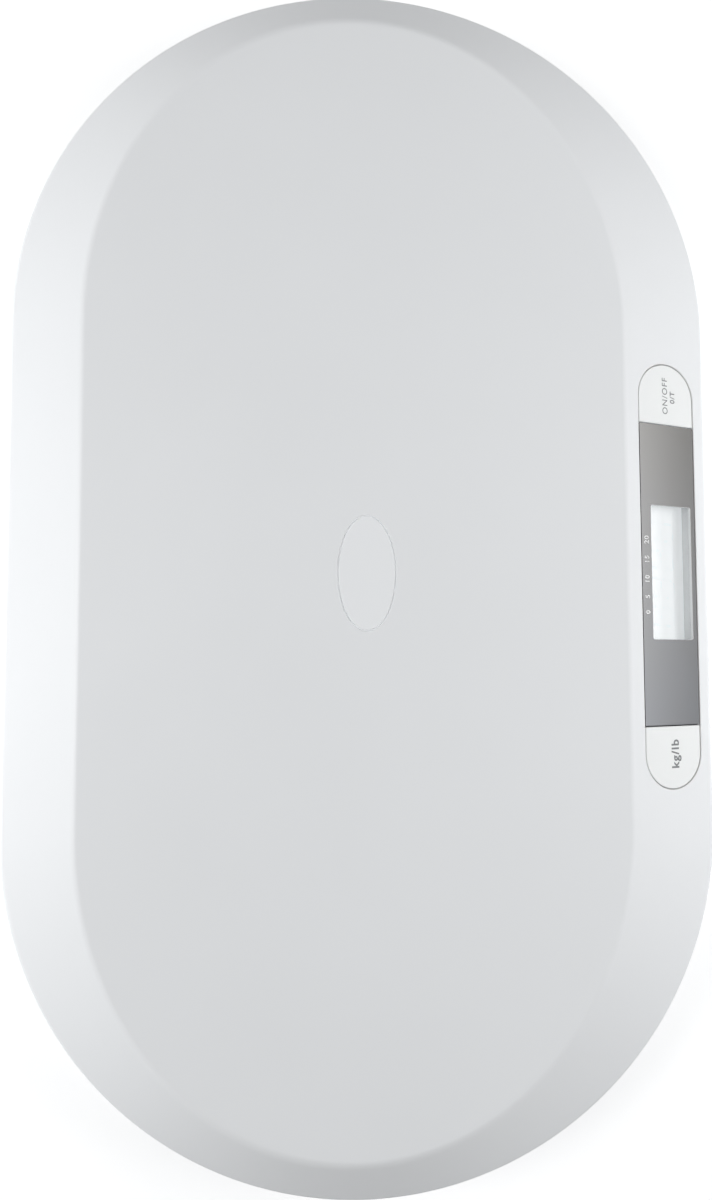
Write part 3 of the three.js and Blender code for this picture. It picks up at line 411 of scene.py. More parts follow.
for groove in range(pad_grooves):
    inner = pad_first_groove + groove * pad_groove_pitch
    outer = inner + pad_groove_width
    corners = ((inner, 0), (inner, pad_groove_depth), (outer, pad_groove_depth), (outer, 0))
    pad_section += [(*corner, pad_groove_round) for corner in corners]
pad_section += [(pad_radius, 0, pad_edge), (pad_radius, pad_thickness), (0, pad_thickness)]

foot_plastic = moulded_plastic("foot_plastic", tone(236, 237, 238), 0.45)
pad_rubber = clouded("pad_rubber", tone(96, 98, 100), clouds=(5 * mm, 3.0), tones=(0.3, 0.85),
                     gloss=(0.12, 0.0, 0.74), grain=(0.25 * mm, 2.0), depth=0.02 * mm, IOR=1.52)
foot_bodies = ("front_right_foot", "back_right_foot", "back_left_foot", "front_left_foot")
wells = []
for number, body in enumerate(foot_bodies, 1):
    low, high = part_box(f"foot_pad_{number}")
    place = ((low.x + high.x) / 2, (low.y + high.y) / 2, 0)
    wells.append(place)
    foot = turned(f"foot_{number}_moulding", foot_section, [place], round_steps, foot_plastic)
    fitted(foot, f"foot_{number}", body)
    pad = turned(f"foot_{number}_rubber", pad_section, [place], round_steps, pad_rubber)
    fitted(pad, f"foot_pad_{number}", body)


# Base moulding
# One white moulded pan closes the scale from below. Its wall curves in towards the table, a lip locates it
# in the cover, and it carries the four foot wells, the six screw towers and the battery bay.
rim_radius = 160.85 * mm
half_straight = 114.15 * mm
base_clearance = 9 * mm
base_wall = 2.4 * mm
base_tuck = 22 * mm
base_inner_tuck = 23.5 * mm
shoulder_inset = 1.2 * mm
shoulder_level = 23.5 * mm
lip_outside = 3.6 * mm
lip_inside = 5.4 * mm
lip_top = 28.5 * mm
well_radius = 25 * mm
well_wall = 2.2 * mm
well_top = 21.6 * mm
well_ceiling = 2.4 * mm
tower_radius = 6 * mm
tower_top = 22 * mm
tower_seat = 19.5 * mm
tower_bore_radius = 4.3 * mm
screw_hole_radius = 1.9 * mm
side_screw_place = (128 * mm, 112 * mm)
end_screw_x = 222 * mm
mouth_round = 0.6 * mm
cut_overrun = 2 * mm
base_steps = 192
wall_curve_steps = 12
edge_steps = 5
corner_turn_steps = 6
tower_steps = 48
hole_steps = 32
cradle_steps = 64
tower_round = 0.3 * mm
lying = math.pi / 2
quarters = ((1, 1), (-1, 1), (-1, -1), (1, -1))


def quarter_turn(steps):
    """How far a quarter circle has still to go outwards, and how far it has come up, as shares."""
    angles = [math.pi / 2 * step / steps for step in range(steps + 1)]
    return [(1 - math.sin(angle), 1 - math.cos(angle)) for angle in angles]


def curved_wall(inset, tuck, low):
    """Section points of the base's wall, from the floor at the height low out to the shoulder."""
    return [(rim_radius - (inset + (tuck - inset) * out), low + (shoulder_level - low) * up)
            for out, up in quarter_turn(wall_curve_steps)]


def post_section(radius, low, top, top_round=0.0):
    return [(0, low), (radius, low), (radius, top, top_round), (0, top)]


def mouth_section(radius, low, top, top_round=0.0):
    """Section of a round cutter that leaves a softened mouth in a face at the height low."""
    start = [(0, low - cut_overrun), (radius + mouth_round, low - cut_overrun)]
    curve = [(radius + mouth_round * out, low + mouth_round * up) for out, up in quarter_turn(edge_steps)]
    return [*start, *curve, (radius, top, top_round), (0, top)]


def arc(x, y, radius, start, end, steps):
    """Points round a centre, from one angle to another in quarter turns."""
    angles = [math.pi / 2 * (start + (end - start) * step / steps) for step in range(steps + 1)]
    return [(x + radius * math.cos(angle), y + radius * math.sin(angle)) for angle in angles]


def oblong(half_x, half_y, corner, shift=(0, 0), steps=corner_turn_steps):
    """A rectangle with round corners, anticlockwise from its +X side, as an outline that takes a margin."""
    middles = [(shift[0] + x * (half_x - corner), shift[1] + y * (half_y - corner)) for x, y in quarters]

    def outline(margin):
        corners = [arc(x, y, corner + margin, at, at + 1, steps) for at, (x, y) in enumerate(middles)]
        return [point for points in corners for point in points]

    return outline


def spread(count, pitch):
    """Places at equal distances, with zero in the middle."""
    return [(at - (count - 1) / 2) * pitch for at in range(count)]


def at_level(points, level):
    return [(x, y, level) for x, y in points]


def plain(outline, low, high):
    """Rings of an upright block."""
    return [at_level(outline(0), low), at_level(outline(0), high)]


def pressed(outline, back, face, soft):
    """Rings of a solid from its flat back to a face with a softened edge."""
    way = 1 if face > back else -1
    rounded = [at_level(outline(-soft * up), face - way * soft * out) for out, up in quarter_turn(edge_steps)]
    return [at_level(outline(0), back), *rounded]


def mouth(outline, face, end, soft):
    """Rings of a cutter that enters at a face, softens the edge there and runs on to a flat end."""
    way = 1 if end > face else -1
    rounded = [at_level(outline(soft * out), face + way * soft * up) for out, up in quarter_turn(edge_steps)]
    return [at_level(outline(soft), face - way * cut_overrun), *rounded, at_level(outline(0), end)]


def add_solid(body, rings):
    """Adds a closed solid to a bmesh, through rings of equal point count and with flat ends."""
    rows = [[body.verts.new(point) for point in ring] for ring in rings]
    for low, high in zip(rows, rows[1:]):
        for at in range(len(low)):
            following = (at + 1) % len(low)
            body.faces.new((low[at], low[following], high[following], high[at]))
    body.faces.new(rows[0])
    body.faces.new(rows[-1])


def welded_mesh(body, mesh):
    """Writes a bmesh to a mesh, welded and with its faces turned outwards."""
    bmesh.ops.remove_doubles(body, verts=body.verts, dist=fine_weld_distance)
    bmesh.ops.recalc_face_normals(body, faces=body.faces)
    body.to_mesh(mesh)
    body.free()
    return mesh


def lofted(name, rings, finish=None):
    """A smooth piece through rings."""
    body = bmesh.new()
    add_solid(body, rings)
    mesh = welded_mesh(body, bpy.data.meshes.new(name))
    mesh.shade_smooth()
    face_outwards(mesh)
    if finish:
        mesh.materials.append(finish)
    return link_object(name, mesh)


def combine(piece, operation, others):
    for other in others:
        modifier = piece.modifiers.new("Combine", "BOOLEAN")
        modifier.operation, modifier.solver, modifier.object = operation, "EXACT", other
        evaluated_mesh(piece).shade_smooth()
        bpy.data.objects.remove(other)


def join(piece, *others):
    """Joins others to the piece, and they are used up."""
    combine(piece, "UNION", others)


def cut(piece, *others):
    """Cuts others from the piece, and they are used up."""
    combine(piece, "DIFFERENCE", others)


inner_wall = curved_wall(lip_inside, base_inner_tuck, base_clearance + base_wall)
base_section = [
    (0, base_clearance),
    *curved_wall(shoulder_inset, base_tuck, base_clearance),
    (rim_radius - lip_outside, shoulder_level),
    (rim_radius - lip_outside, lip_top),
    (rim_radius - lip_inside, lip_top),
    *reversed(inner_wall),
    (0, base_clearance + base_wall),
]
side_x, side_y = side_screw_place
screw_places = [(x, y, 0) for x in (side_x, -side_x) for y in (side_y, -side_y)]
screw_places += [(end_screw_x, 0, 0), (-end_screw_x, 0, 0)]
base_plastic = moulded_plastic("base_plastic", tone(235, 236, 238), 0.42)
base = turned("base_moulding", base_section, [(0, 0, 0)], base_steps, base_plastic,
              half_straight=half_straight)
inside = base_clearance + base_wall / 2
well_outside = post_section(well_radius + well_wall, inside, well_top + well_ceiling, mouth_round)
tower_outside = post_section(tower_radius, inside, tower_top, tower_round)

bay_half = (25.6 * mm, 23.25 * mm)
bay_recess_half = (28.6 * mm, 26.25 * mm)
bay_block_half = (30.6 * mm, 30.75 * mm)
bay_top = 24.4 * mm
bay_recess_top = 11.3 * mm
bay_corner = 1 * mm
cell_axis = 16.85 * mm
cell_pitch = 11.6 * mm
cradle_radius = 5.55 * mm
cell_rows = spread(4, cell_pitch)
contact_slot_depth = 1 * mm
cradle_short = 0.5 * mm
slot_overcut = 0.05 * mm
contact_slot_half = 21.7 * mm
contact_slot_top = 20.35 * mm
notch_half = 8 * mm
notch_length = 7 * mm
notch_depth = 1.3 * mm
tongue_x = 17 * mm
tongue_half = 4 * mm
tongue_slot_reach = 2.5 * mm
tongue_lip = 1.4 * mm
tongue_slot_top = 13.2 * mm
solder_slot_half = 1.8 * mm
solder_slot_half_height = 0.5 * mm
lead_port_half = 1.6 * mm
lead_port_level = 18.4 * mm
port_corner = 0.4 * mm
bay_block = plain(oblong(*bay_block_half, bay_corner), inside, bay_top)
join(
    base,
    turned("wells", well_outside, wells, round_steps, base_plastic),
    turned("towers", tower_outside, screw_places, tower_steps, base_plastic),
    lofted("bay block", bay_block),
)
screw_hole = post_section(screw_hole_radius, tower_seat - cut_overrun, tower_top + cut_overrun)
well_bore = mouth_section(well_radius, base_clearance, well_top, mouth_round)
tower_bore = mouth_section(tower_bore_radius, base_clearance, tower_seat)
cradle_end = bay_half[0] - cradle_short
cradle = post_section(cradle_radius, -cradle_end, cradle_end)
cradle_places = [(0, y, cell_axis) for y in cell_rows]
door_recess = oblong(*bay_recess_half, bay_corner)
thumb_notch = oblong(notch_half, notch_length, 2 * bay_corner, (0, -bay_recess_half[1]))
cut(
    base,
    turned("well_bores", well_bore, wells, round_steps),
    turned("tower_bores", tower_bore, screw_places, tower_steps),
    turned("screw_holes", screw_hole, screw_places, hole_steps),
    turned("cradles", cradle, cradle_places, cradle_steps, lie=lying),
    lofted("door_recess", mouth(door_recess, base_clearance, bay_recess_top, mouth_round)),
    lofted("cell_bay", plain(oblong(*bay_half, bay_corner), base_clearance, cell_axis)),
    lofted("thumb_notch", mouth(thumb_notch, base_clearance, base_clearance + notch_depth, mouth_round)),
)
contact_x = bay_half[0] - contact_slot_depth / 2 + slot_overcut
tongue_reach = bay_recess_half[1] + tongue_slot_reach
solder_x = (bay_half[0] + bay_block_half[0]) / 2 + cut_overrun / 2
solder_half = (bay_block_half[0] - bay_half[0]) / 2 + cut_overrun
slots = []
for side in (1, -1):
    slots += [
        (contact_slot_depth / 2, contact_slot_half, side * contact_x, 0, base_clearance, contact_slot_top),
        (tongue_half + pad_gap, (tongue_reach - bay_half[1]) / 2, side * tongue_x,
         (tongue_reach + bay_half[1]) / 2, base_clearance + tongue_lip, tongue_slot_top),
        (solder_half, solder_slot_half, solder_x, side * cell_rows[-1],
         cell_axis - solder_slot_half_height, cell_axis + solder_slot_half_height),
    ]
for x, y, _ in wells:
    port_x = x - math.copysign(well_radius + well_wall / 2, x)
    slots.append((well_wall / 2 + cut_overrun, lead_port_half, port_x, y,
                  lead_port_level - lead_port_half, lead_port_level + lead_port_half))
for half_x, half_y, x, y, low, high in slots:
    slot = plain(oblong(half_x, half_y, port_corner, (x, y)), low, high)
    cut(base, lofted("slot", slot))
fitted(base, "bottom_cover")


# Platform cover
# One thin white moulding is the weighing surface: a flat oval plateau with a fine oval groove, a bevel that
# falls to the rounded rim along straight rule lines, and a short skirt. Ribs and screw bosses stiffen it.
plateau_level = 52 * mm
rim_level = 36 * mm
skirt_level = 24 * mm
skirt_draft = 0.6 * mm
cover_wall = 2.6 * mm
plateau_half_straight = 111.1 * mm
plateau_reach = 140.7 * mm
plateau_half_width = 120.9 * mm
plateau_shift = 4.3 * mm
plateau_edge_radius = 7.2 * mm
inner_edge_inset = 0.6 * mm
rim_round = 2.5 * mm
oval_half_length = 25.3 * mm
oval_half_width = 12.7 * mm
oval_place = (-1.1 * mm, 0.8 * mm)
oval_groove_half = 0.55 * mm
oval_groove_depth = 0.5 * mm
cover_steps = 384
round_rows = 10
ring_marks = ("fall", "lean", "oval", "bend", "drop")
island_light = 0.045


def platform_recipe():
    """Joins an oval plateau to its rim by straight rule lines, row by row down a drawn section."""
    recipe = Recipe("Platform", "Steps", "Rise", "Rim Half Straight", "Rim Radius", "Half Straight", "Reach",
                    "Half Width", "Shift", "Oval Half Length", "Oval Half Width", "Oval X", "Oval Y")
    (_, rise, rim_straight, rim, straight, length, width, shift,
     oval_length, oval_width, middle_x, middle_y) = recipe.sizes
    grid, row, (reach, share, level), cosine, sine = recipe.rings(recipe.drawing)
    fall, lean, oval, bend, drop = [
        Measure(recipe, recipe.sampled(recipe.drawing, recipe.attribute(name), row, "FLOAT"))
        for name in ring_marks
    ]
    side = cosine.math("SIGN")
    edge_x, edge_y = side * straight + length * cosine, shift + width * sine
    rule_x, rule_y = side * rim_straight + rim * cosine - edge_x, rim * sine - edge_y
    run = (rule_x * rule_x + rule_y * rule_y).math("SQRT")
    slant = rise / run
    way = share + (reach + bend * slant) / run
    height = level + fall / run + lean * (slant * slant + 1).math("SQRT") - drop * slant * slant
    bevel_x, bevel_y = edge_x + rule_x * way, edge_y + rule_y * way
    oval_x = middle_x + (oval_length * share + reach) * cosine
    oval_y = middle_y + (oval_width * share + reach) * sine
    x, y = bevel_x + oval * (oval_x - bevel_x), bevel_y + oval * (oval_y - bevel_y)
    return recipe.finish(recipe.moved(grid, x, y, height))


def platform_drawing():
    """The section of the cover as one row of points, each with what makes its ring."""
    rise = plateau_level - rim_level
    rows = [((0, 0, plateau_level), {"oval": 1})]
    for step in range(-round_rows, round_rows + 1):
        sink = oval_groove_depth * math.cos(math.pi / 2 * step / round_rows) ** 2
        rows.append(((oval_groove_half * step / round_rows, 1, plateau_level - sink), {"oval": 1}))
    tangent = plateau_edge_radius / 2
    shares = [step / round_rows for step in range(round_rows + 1)]
    for share in shares:
        marks = {"bend": tangent * (2 * share - 1), "drop": tangent * share ** 2}
        rows.append(((0, 0, plateau_level), marks))
    for share in shares:
        back = rim_round * (1 - share) ** 2
        rows.append(((-back, 1, rim_level - rim_round * share ** 2), {"fall": rise * back}))
    rows += [
        ((-skirt_draft, 1, skirt_level), {}),
        ((-skirt_draft - cover_wall, 1, skirt_level), {}),
        ((-cover_wall, 1, rim_level), {"fall": rise * cover_wall, "lean": -cover_wall}),
        ((-inner_edge_inset, 0, plateau_level - cover_wall), {}),
        ((0, 0, plateau_level - cover_wall), {"oval": 1}),
    ]
    marks = {name: [extra.get(name, 0.0) for _, extra in rows] for name in ring_marks}
    return marked_points([place for place, _ in rows], **marks)


def oval_island(finish):
    """A little extra light in the tone of the face inside the oval groove."""
    x, y, z = finish.parts_of(finish.place)
    along, across = (x - oval_place[0]) / oval_half_length, (y - oval_place[1]) / oval_half_width
    inside = (along * along + across * across).math("LESS_THAN", 1.0)
    return inside * z.math("GREATER_THAN", plateau_level - oval_groove_depth) * island_light


platform_plastic = moulded_plastic("platform_plastic", tone(235, 237, 239), 0.4, oval_island)
cover = made(
    "platform_moulding", platform_recipe(), platform_drawing(), platform_plastic, steps=cover_steps,
    rise=plateau_level - rim_level, rim_half_straight=half_straight, rim_radius=rim_radius,
    half_straight=plateau_half_straight, reach=plateau_reach, half_width=plateau_half_width,
    shift=plateau_shift, oval_half_length=oval_half_length, oval_half_width=oval_half_width,
    oval_x=oval_place[0], oval_y=oval_place[1],
)

long_rib_pitch = 42 * mm
long_ribs = 5
cross_rib_pitch = 60 * mm
cross_ribs = 7
rib_root_half = 0.9 * mm
rib_tip_half = 0.6 * mm
rib_depth = 7 * mm
rib_margin = 9 * mm
boss_radius = 4.5 * mm
boss_hole_radius = 1.75 * mm
boss_end = 22.3 * mm
boss_hole_end = 35.3 * mm


def rib_recipe():
    """Straight ribs that hang from a ceiling, one at each place, each with its own half length and turn."""
    recipe = Recipe("Ribs", "Root Half", "Tip Half", "Depth")
    block = recipe.result("GeometryNodeMeshCube", Size=(2, 1, 1))
    x, y, z = recipe.parts_of(recipe.result("GeometryNodeInputPosition"))
    root, tip, depth = recipe.sizes
    half = tip + (root - tip) * (z + 0.5)
    shape = recipe.moved(block, x, y * 2 * half, (z - 0.5) * depth)
    return recipe.finish_at(recipe.drawing, shape, recipe.vector(recipe.attribute("reach"), 1, 1))


ribbing = rib_recipe()
ceiling = plateau_level - cover_wall / 2
long_set, cross_set = [], []
for y in spread(long_ribs, long_rib_pitch):
    across = (y - plateau_shift) / plateau_half_width
    reach = plateau_half_straight + plateau_reach * math.sqrt(1 - across ** 2) - rib_margin
    long_set.append((0, y, reach, 0))
for x in spread(cross_ribs, cross_rib_pitch):
    along = max(0, abs(x) - plateau_half_straight) / plateau_reach
    reach = plateau_half_width * math.sqrt(1 - along ** 2) - rib_margin
    cross_set.append((x, plateau_shift, reach, math.pi / 2))
for ribs in (long_set, cross_set):
    x, y, reach, turn = zip(*ribs)
    middles = marked_points([(*place, ceiling) for place in zip(x, y)], reach=reach, turn=turn)
    grille = made("ribs", ribbing, middles, platform_plastic, root_half=rib_root_half,
                  tip_half=rib_tip_half, depth=rib_depth + cover_wall / 2)
    join(cover, grille)
boss = post_section(boss_radius, boss_end, ceiling)
boss_hole = post_section(boss_hole_radius, boss_end - cut_overrun, boss_hole_end)
join(cover, turned("bosses", boss, screw_places, tower_steps, platform_plastic))
cut(cover, turned("boss_holes", boss_hole, screw_places, hole_steps))

strip_half_length = 97.7 * mm
strip_half_width = 16.2 * mm
strip_lip = 0.3 * mm
strip_end_steps = 24
strip_below_middle = 0.33 * mm
bevel_width = rim_radius + plateau_shift - plateau_half_width
bevel_slope = math.atan2(plateau_level - rim_level, bevel_width)
strip_up_slope = math.hypot(plateau_level - rim_level, bevel_width) / 2 - strip_below_middle


def on_strip(rings):
    """Rings drawn flat, with the bevel's face at height zero, laid into the slope of the front bevel."""
    cosine, sine = math.cos(bevel_slope), math.sin(bevel_slope)

    def laid(x, y, z):
        up = strip_up_slope + y
        return x, up * cosine - z * sine - rim_radius, up * sine + z * cosine + rim_level

    return [[laid(*point) for point in ring] for ring in rings]


def strip_piece(name, rings, finish=None):
    return lofted(name, on_strip(rings), finish)


strip_outline = oblong(strip_half_length, strip_half_width, strip_half_width, steps=strip_end_steps)
opening = mouth(strip_outline, 0, -cover_wall - cut_overrun, strip_lip)
cut(cover, strip_piece("strip_opening", opening))
fitted(cover, "top_cover")


# Display panel
# A moulded plate behind the opening carries a satin silver film. It has a flange that bears on the inside of
# the cover, and a window opening over the display with a pocket behind it for the clear sheet.
face_step = 0.15 * mm
panel_half_length = 68.9 * mm
panel_half_width = 15.8 * mm
panel_back = 4.3 * mm
panel_flange_front = 2.9 * mm
panel_flange_half_width = 19.2 * mm
panel_skin = 1.2 * mm
panel_edge = 0.25 * mm
panel_corner = 0.5 * mm
window_half = (30.6 * mm, 11.6 * mm)
window_shift = (0.6 * mm, -1.5 * mm)
window_corner = 0.8 * mm
window_pocket_margin = 2.9 * mm
film_wrap = 0.03 * mm
film_gloss = 0.36
plate_roughness = 0.45
# Past this share of the plate's half size, its sides carry painted shade.
gap_shade_share = 0.97


def satin_silver(name, colour, reflection_tint_colour, plate_colour, gap_shade_colour):
    """A satin silver film on a white moulded plate's face, whose sides have painted shade but for the +X end.
    """
    finish = Finish(name)
    x, y, z = finish.parts_of(finish.place)
    cosine, sine = math.cos(bevel_slope), math.sin(bevel_slope)
    depth = (z - rim_level) * cosine - (y + rim_radius) * sine
    up = (z - rim_level) * sine + (y + rim_radius) * cosine - strip_up_slope
    film = depth.math("GREATER_THAN", -face_step - film_wrap)
    out = (x / -panel_half_length).math("MAXIMUM", (up / panel_half_width).math("ABSOLUTE"))
    # Painted shade: the plate's outer sides, but for its +X end, are darkened so the gaps round the plate
    # look deep.
    gap_shaded = out.math("GREATER_THAN", gap_shade_share)
    clouds = finish.noise(22 * mm, 2.0)
    grain = finish.noise(0.2 * mm, 1.0)
    # Painted cool reflection: the film's tint turns cooler towards its -X end, in soft clouds.
    painted_reflection_share = (x / (-2 * panel_half_length) + clouds * 0.3 + 0.35).clamped()
    plate_or_gap_shade = finish.mixed(gap_shaded, plate_colour, gap_shade_colour)
    whole = finish.mixed(film, plate_or_gap_shade, finish.mixed(painted_reflection_share, colour, reflection_tint_colour))
    roughness = plate_roughness - film * film_gloss + grain * 0.08 + clouds * 0.04
    finish.give(Base_Color=whole, Metallic=film, Roughness=roughness)
    return finish.material


def window_sized(margin, half=window_half):
    """An outline in line with the window, larger than a half size by a margin."""
    return oblong(half[0] + margin, half[1] + margin, window_corner, window_shift)


# Colours: the film, its painted cool reflection, the plate's own white, and the painted shade of its sides.
silver_film = satin_silver("silver_film", tone(177, 176, 174), tone(173, 175, 179), tone(226, 228, 229),
                           tone(74, 75, 78))
plate = oblong(panel_half_length, panel_half_width, panel_corner)
panel = strip_piece("display_panel_film", pressed(plate, -panel_back, -face_step, panel_edge), silver_film)
flange = oblong(panel_half_length, panel_flange_half_width, panel_corner)
join(panel, strip_piece("flange", plain(flange, -panel_back, -panel_flange_front)))
behind_panel = -panel_back - cut_overrun
opening = mouth(window_sized(0), -face_step, behind_panel, panel_edge)
pocket = plain(window_sized(window_pocket_margin), behind_panel, -face_step - panel_skin)
cut(panel, strip_piece("opening", opening), strip_piece("pocket", pocket))
fitted(panel, "display_panel")


# Display window, holder and glass
# A clear acrylic sheet closes the window from behind. Under it a white moulded frame holds the liquid crystal
# display glass, whose unlit face is a pale cool grey with four faint digits.
sheet_front = 1.4 * mm
sheet_back = 2.85 * mm
sheet_overlap = 2.6 * mm
sheet_edge = 0.15 * mm
holder_front = 2.9 * mm
holder_step = 4.6 * mm
holder_back = 11.7 * mm
holder_play = 1.4 * mm
holder_wall = 2 * mm
glass_front = 7.3 * mm
glass_back = 9.9 * mm
glass_half = (33.8 * mm, 14.3 * mm)
acrylic_ior = 1.49
# Strength of the painted glow on the display's face and digits.
painted_display_glow = 0.42


def clear_acrylic(name):
    """Clear sheet: lamp light passes straight through it, and it reflects more towards grazing angles."""
    finish = Finish(name, Metallic=1.0)
    smears = finish.noise(8 * mm, 2.0)
    colour = finish.shaded(tone(255, 255, 255), smears * 0.04 + 0.96)
    finish.give(Base_Color=colour, Roughness=smears * 0.04 + 0.04)
    inside = finish.measured("ShaderNodeNewGeometry", "Backfacing")
    ior = inside * (1 / acrylic_ior - acrylic_ior) + acrylic_ior
    gloss = finish.result("ShaderNodeFresnel", IOR=ior)
    finish.mixed_surface(gloss, finish.result("ShaderNodeBsdfTransparent"), finish.shader.outputs[0])
    return finish.material


sheet = pressed(window_sized(sheet_overlap), -sheet_back, -sheet_front, sheet_edge)
window = strip_piece("display_window_sheet", sheet, clear_acrylic("clear_acrylic"))
fitted(window, "display_window")
holder_plastic = moulded_plastic("holder_plastic", tone(216, 218, 219), 0.5)
frame_block = plain(window_sized(pad_gap + holder_wall, glass_half), -holder_back, -holder_step)
holder = strip_piece("display_holder_frame", frame_block, holder_plastic)
lip = pressed(window_sized(sheet_overlap), -holder_step - holder_wall / 2, -holder_front, sheet_edge)
join(holder, strip_piece("lip", lip))
behind_holder = -holder_back - cut_overrun
opening = plain(window_sized(holder_play), behind_holder, cut_overrun)
pocket = plain(window_sized(pad_gap, glass_half), behind_holder, -glass_front + pad_gap)
cut(holder, strip_piece("opening", opening), strip_piece("pocket", pocket))
fitted(holder, "lcd_holder")


def display_face(name, colour, patch):
    """The display's unlit face over its reflector, with a painted glow that brightens it in its deep window.
    """
    return clouded(name, colour, clouds=(patch, 2.0), tones=(0.03, 0.97), gloss=(0.05, 0.25), IOR=1.5,
                   Emission_Color=colour, Emission_Strength=painted_display_glow)


cell = pressed(window_sized(0, glass_half), -glass_back, -glass_front, sheet_edge)
glass = strip_piece("display_glass_cell", cell, display_face("display_face", tone(228, 231, 232), 20 * mm))
fitted(glass, "lcd_glass")

digit_height = 15 * mm
digit_pitch = 13.2 * mm
digit_count = 4
stroke_half = 0.75 * mm
stroke_gap = 0.35 * mm
digit_half_width = 4.1 * mm
digit_slant = 0.1
stroke_thickness = 0.02 * mm
dot_radius = 0.8 * mm
dot_steps = 4


def stroke_points(from_point, to_point, digit_x):
    """Outline of one pointed stroke of a digit, slanted as the digit is."""
    start, end = Vector(from_point), Vector(to_point)
    way = (end - start).normalized()
    side = Vector((-way.y, way.x)) * stroke_half
    start, end = start + way * stroke_gap, end - way * stroke_gap
    tip = way * stroke_half
    flat = [start, start + tip - side, end - tip - side, end, end - tip + side, start + tip + side]
    return [(digit_x + p.x + p.y * digit_slant, window_shift[1] + p.y) for p in flat]


def unlit_digits(name, finish):
    """All strokes of the digits as thin raised cells on the display's face."""
    half, top = digit_half_width, digit_height / 2
    strokes = [((-half, top), (half, top)), ((-half, 0), (half, 0)), ((-half, -top), (half, -top))]
    strokes += [((x, y), (x, y - top)) for x in (-half, half) for y in (top, 0)]
    body = bmesh.new()
    middles = [window_shift[0] + x for x in spread(digit_count, digit_pitch)]
    for digit_x in middles:
        outlines = [stroke_points(*stroke, digit_x) for stroke in strokes]
        if digit_x < middles[-1]:
            dot_place = (digit_x + digit_pitch / 2 - top * digit_slant, window_shift[1] - top)
            outlines.append(oblong(dot_radius, dot_radius, dot_radius, dot_place, dot_steps)(0))
        for outline in outlines:
            levels = [way * stroke_thickness / 2 - glass_front for way in (-1, 1)]
            add_solid(body, on_strip([at_level(outline, level) for level in levels]))
    mesh = welded_mesh(body, bpy.data.meshes.new(name))
    mesh.materials.append(finish)
    return link_object(name, mesh)


digits = unlit_digits("display_digits", display_face("unlit_cells", tone(221, 225, 227), 4 * mm))
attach(digits, "housing")


# Buttons
# Two white press buttons fill the ends of the strip, each a hollow moulding with a straight inner edge, a
# half round end, a flange that holds it under the cover and a stem that bears on its switch.
button_gap = 0.4 * mm
button_wall = 1.4 * mm
button_cap = 1.8 * mm
button_edge = 0.45 * mm
button_flange_front = 2.9 * mm
button_back = 3.9 * mm
button_flange_reach = 1.6 * mm
button_stem_radius = 2.4 * mm
button_stem_x = 84 * mm
button_stem_end = 6.9 * mm
button_corner = 0.4 * mm
button_end_steps = 32
button_corner_steps = 4
stem_steps = 12


def button_outline(side, grown=0.0, inner_grown=0.0):
    """Straight edge to the panel and round outer end, at the +X or the -X end of the strip."""
    middle = strip_half_length - strip_half_width
    radius = strip_half_width - button_gap + grown
    inner = panel_half_length + button_gap - inner_grown + button_corner

    def outline(margin):
        points = arc(middle, 0, radius + margin, -1, 1, button_end_steps)
        for quarter, y in ((1, radius - button_corner), (2, button_corner - radius)):
            points += arc(inner, y, button_corner + margin, quarter, quarter + 1, button_corner_steps)
        return [(side * x, side * y) for x, y in points]

    return outline


button_plastic = moulded_plastic("button_plastic", tone(238, 240, 240), 0.38)
for side, key, node in ((1, "power_key", "power_button"), (-1, "unit_key", "unit_button")):
    cap = pressed(button_outline(side), -button_back, -face_step, button_edge)
    flange = plain(button_outline(side, button_gap + button_flange_reach), -button_back, -button_flange_front)
    hollow = plain(button_outline(side, -button_wall, -button_wall), -button_back - cut_overrun,
                   -face_step - button_cap)
    stem = plain(oblong(*[button_stem_radius] * 3, (side * button_stem_x, 0), stem_steps), -button_stem_end,
                 -face_step - button_cap / 2)
    button = strip_piece(f"{node}_cap", cap, button_plastic)
    join(button, strip_piece("flange", flange))
    cut(button, strip_piece("hollow", hollow))
    join(button, strip_piece("stem", stem))
    fitted(button, node, key)


# Lettering
# Small grey legends are printed on the two buttons, and a row of plain numbers in white on the film. Each is
# thin ink on the face that reads from the display side.
ink_thickness = 0.03 * mm
ink_overlap = 0.01 * mm
grey_ink = ("legend_ink", tone(120, 122, 124), "button_plastic")
white_ink = ("scale_ink", tone(238, 239, 239), "silver_panel")
legends = (
    ("power_legend", "power_key", "ON/OFF", 4.3 * mm, (82.7 * mm, 0.3 * mm), 0.0, grey_ink),
    ("zero_legend", "power_key", "0/T", 3.7 * mm, (82.4 * mm, -4.1 * mm), 0.06 * mm, grey_ink),
    ("unit_legend", "unit_key", "kg/lb", 5.9 * mm, (-81.8 * mm, -1.15 * mm), 0.14 * mm, grey_ink),
    ("range_legend", "housing", "0    5    10    15    20", 3.5 * mm, (-0.8 * mm, 12.9 * mm), 0.04 * mm,
     white_ink),
)
legend_spacing = 1.15
ink_cover = {"clouds": (0.5 * mm, 2.0), "tones": (0.2, 0.9), "gloss": (0.1, 0.4)}


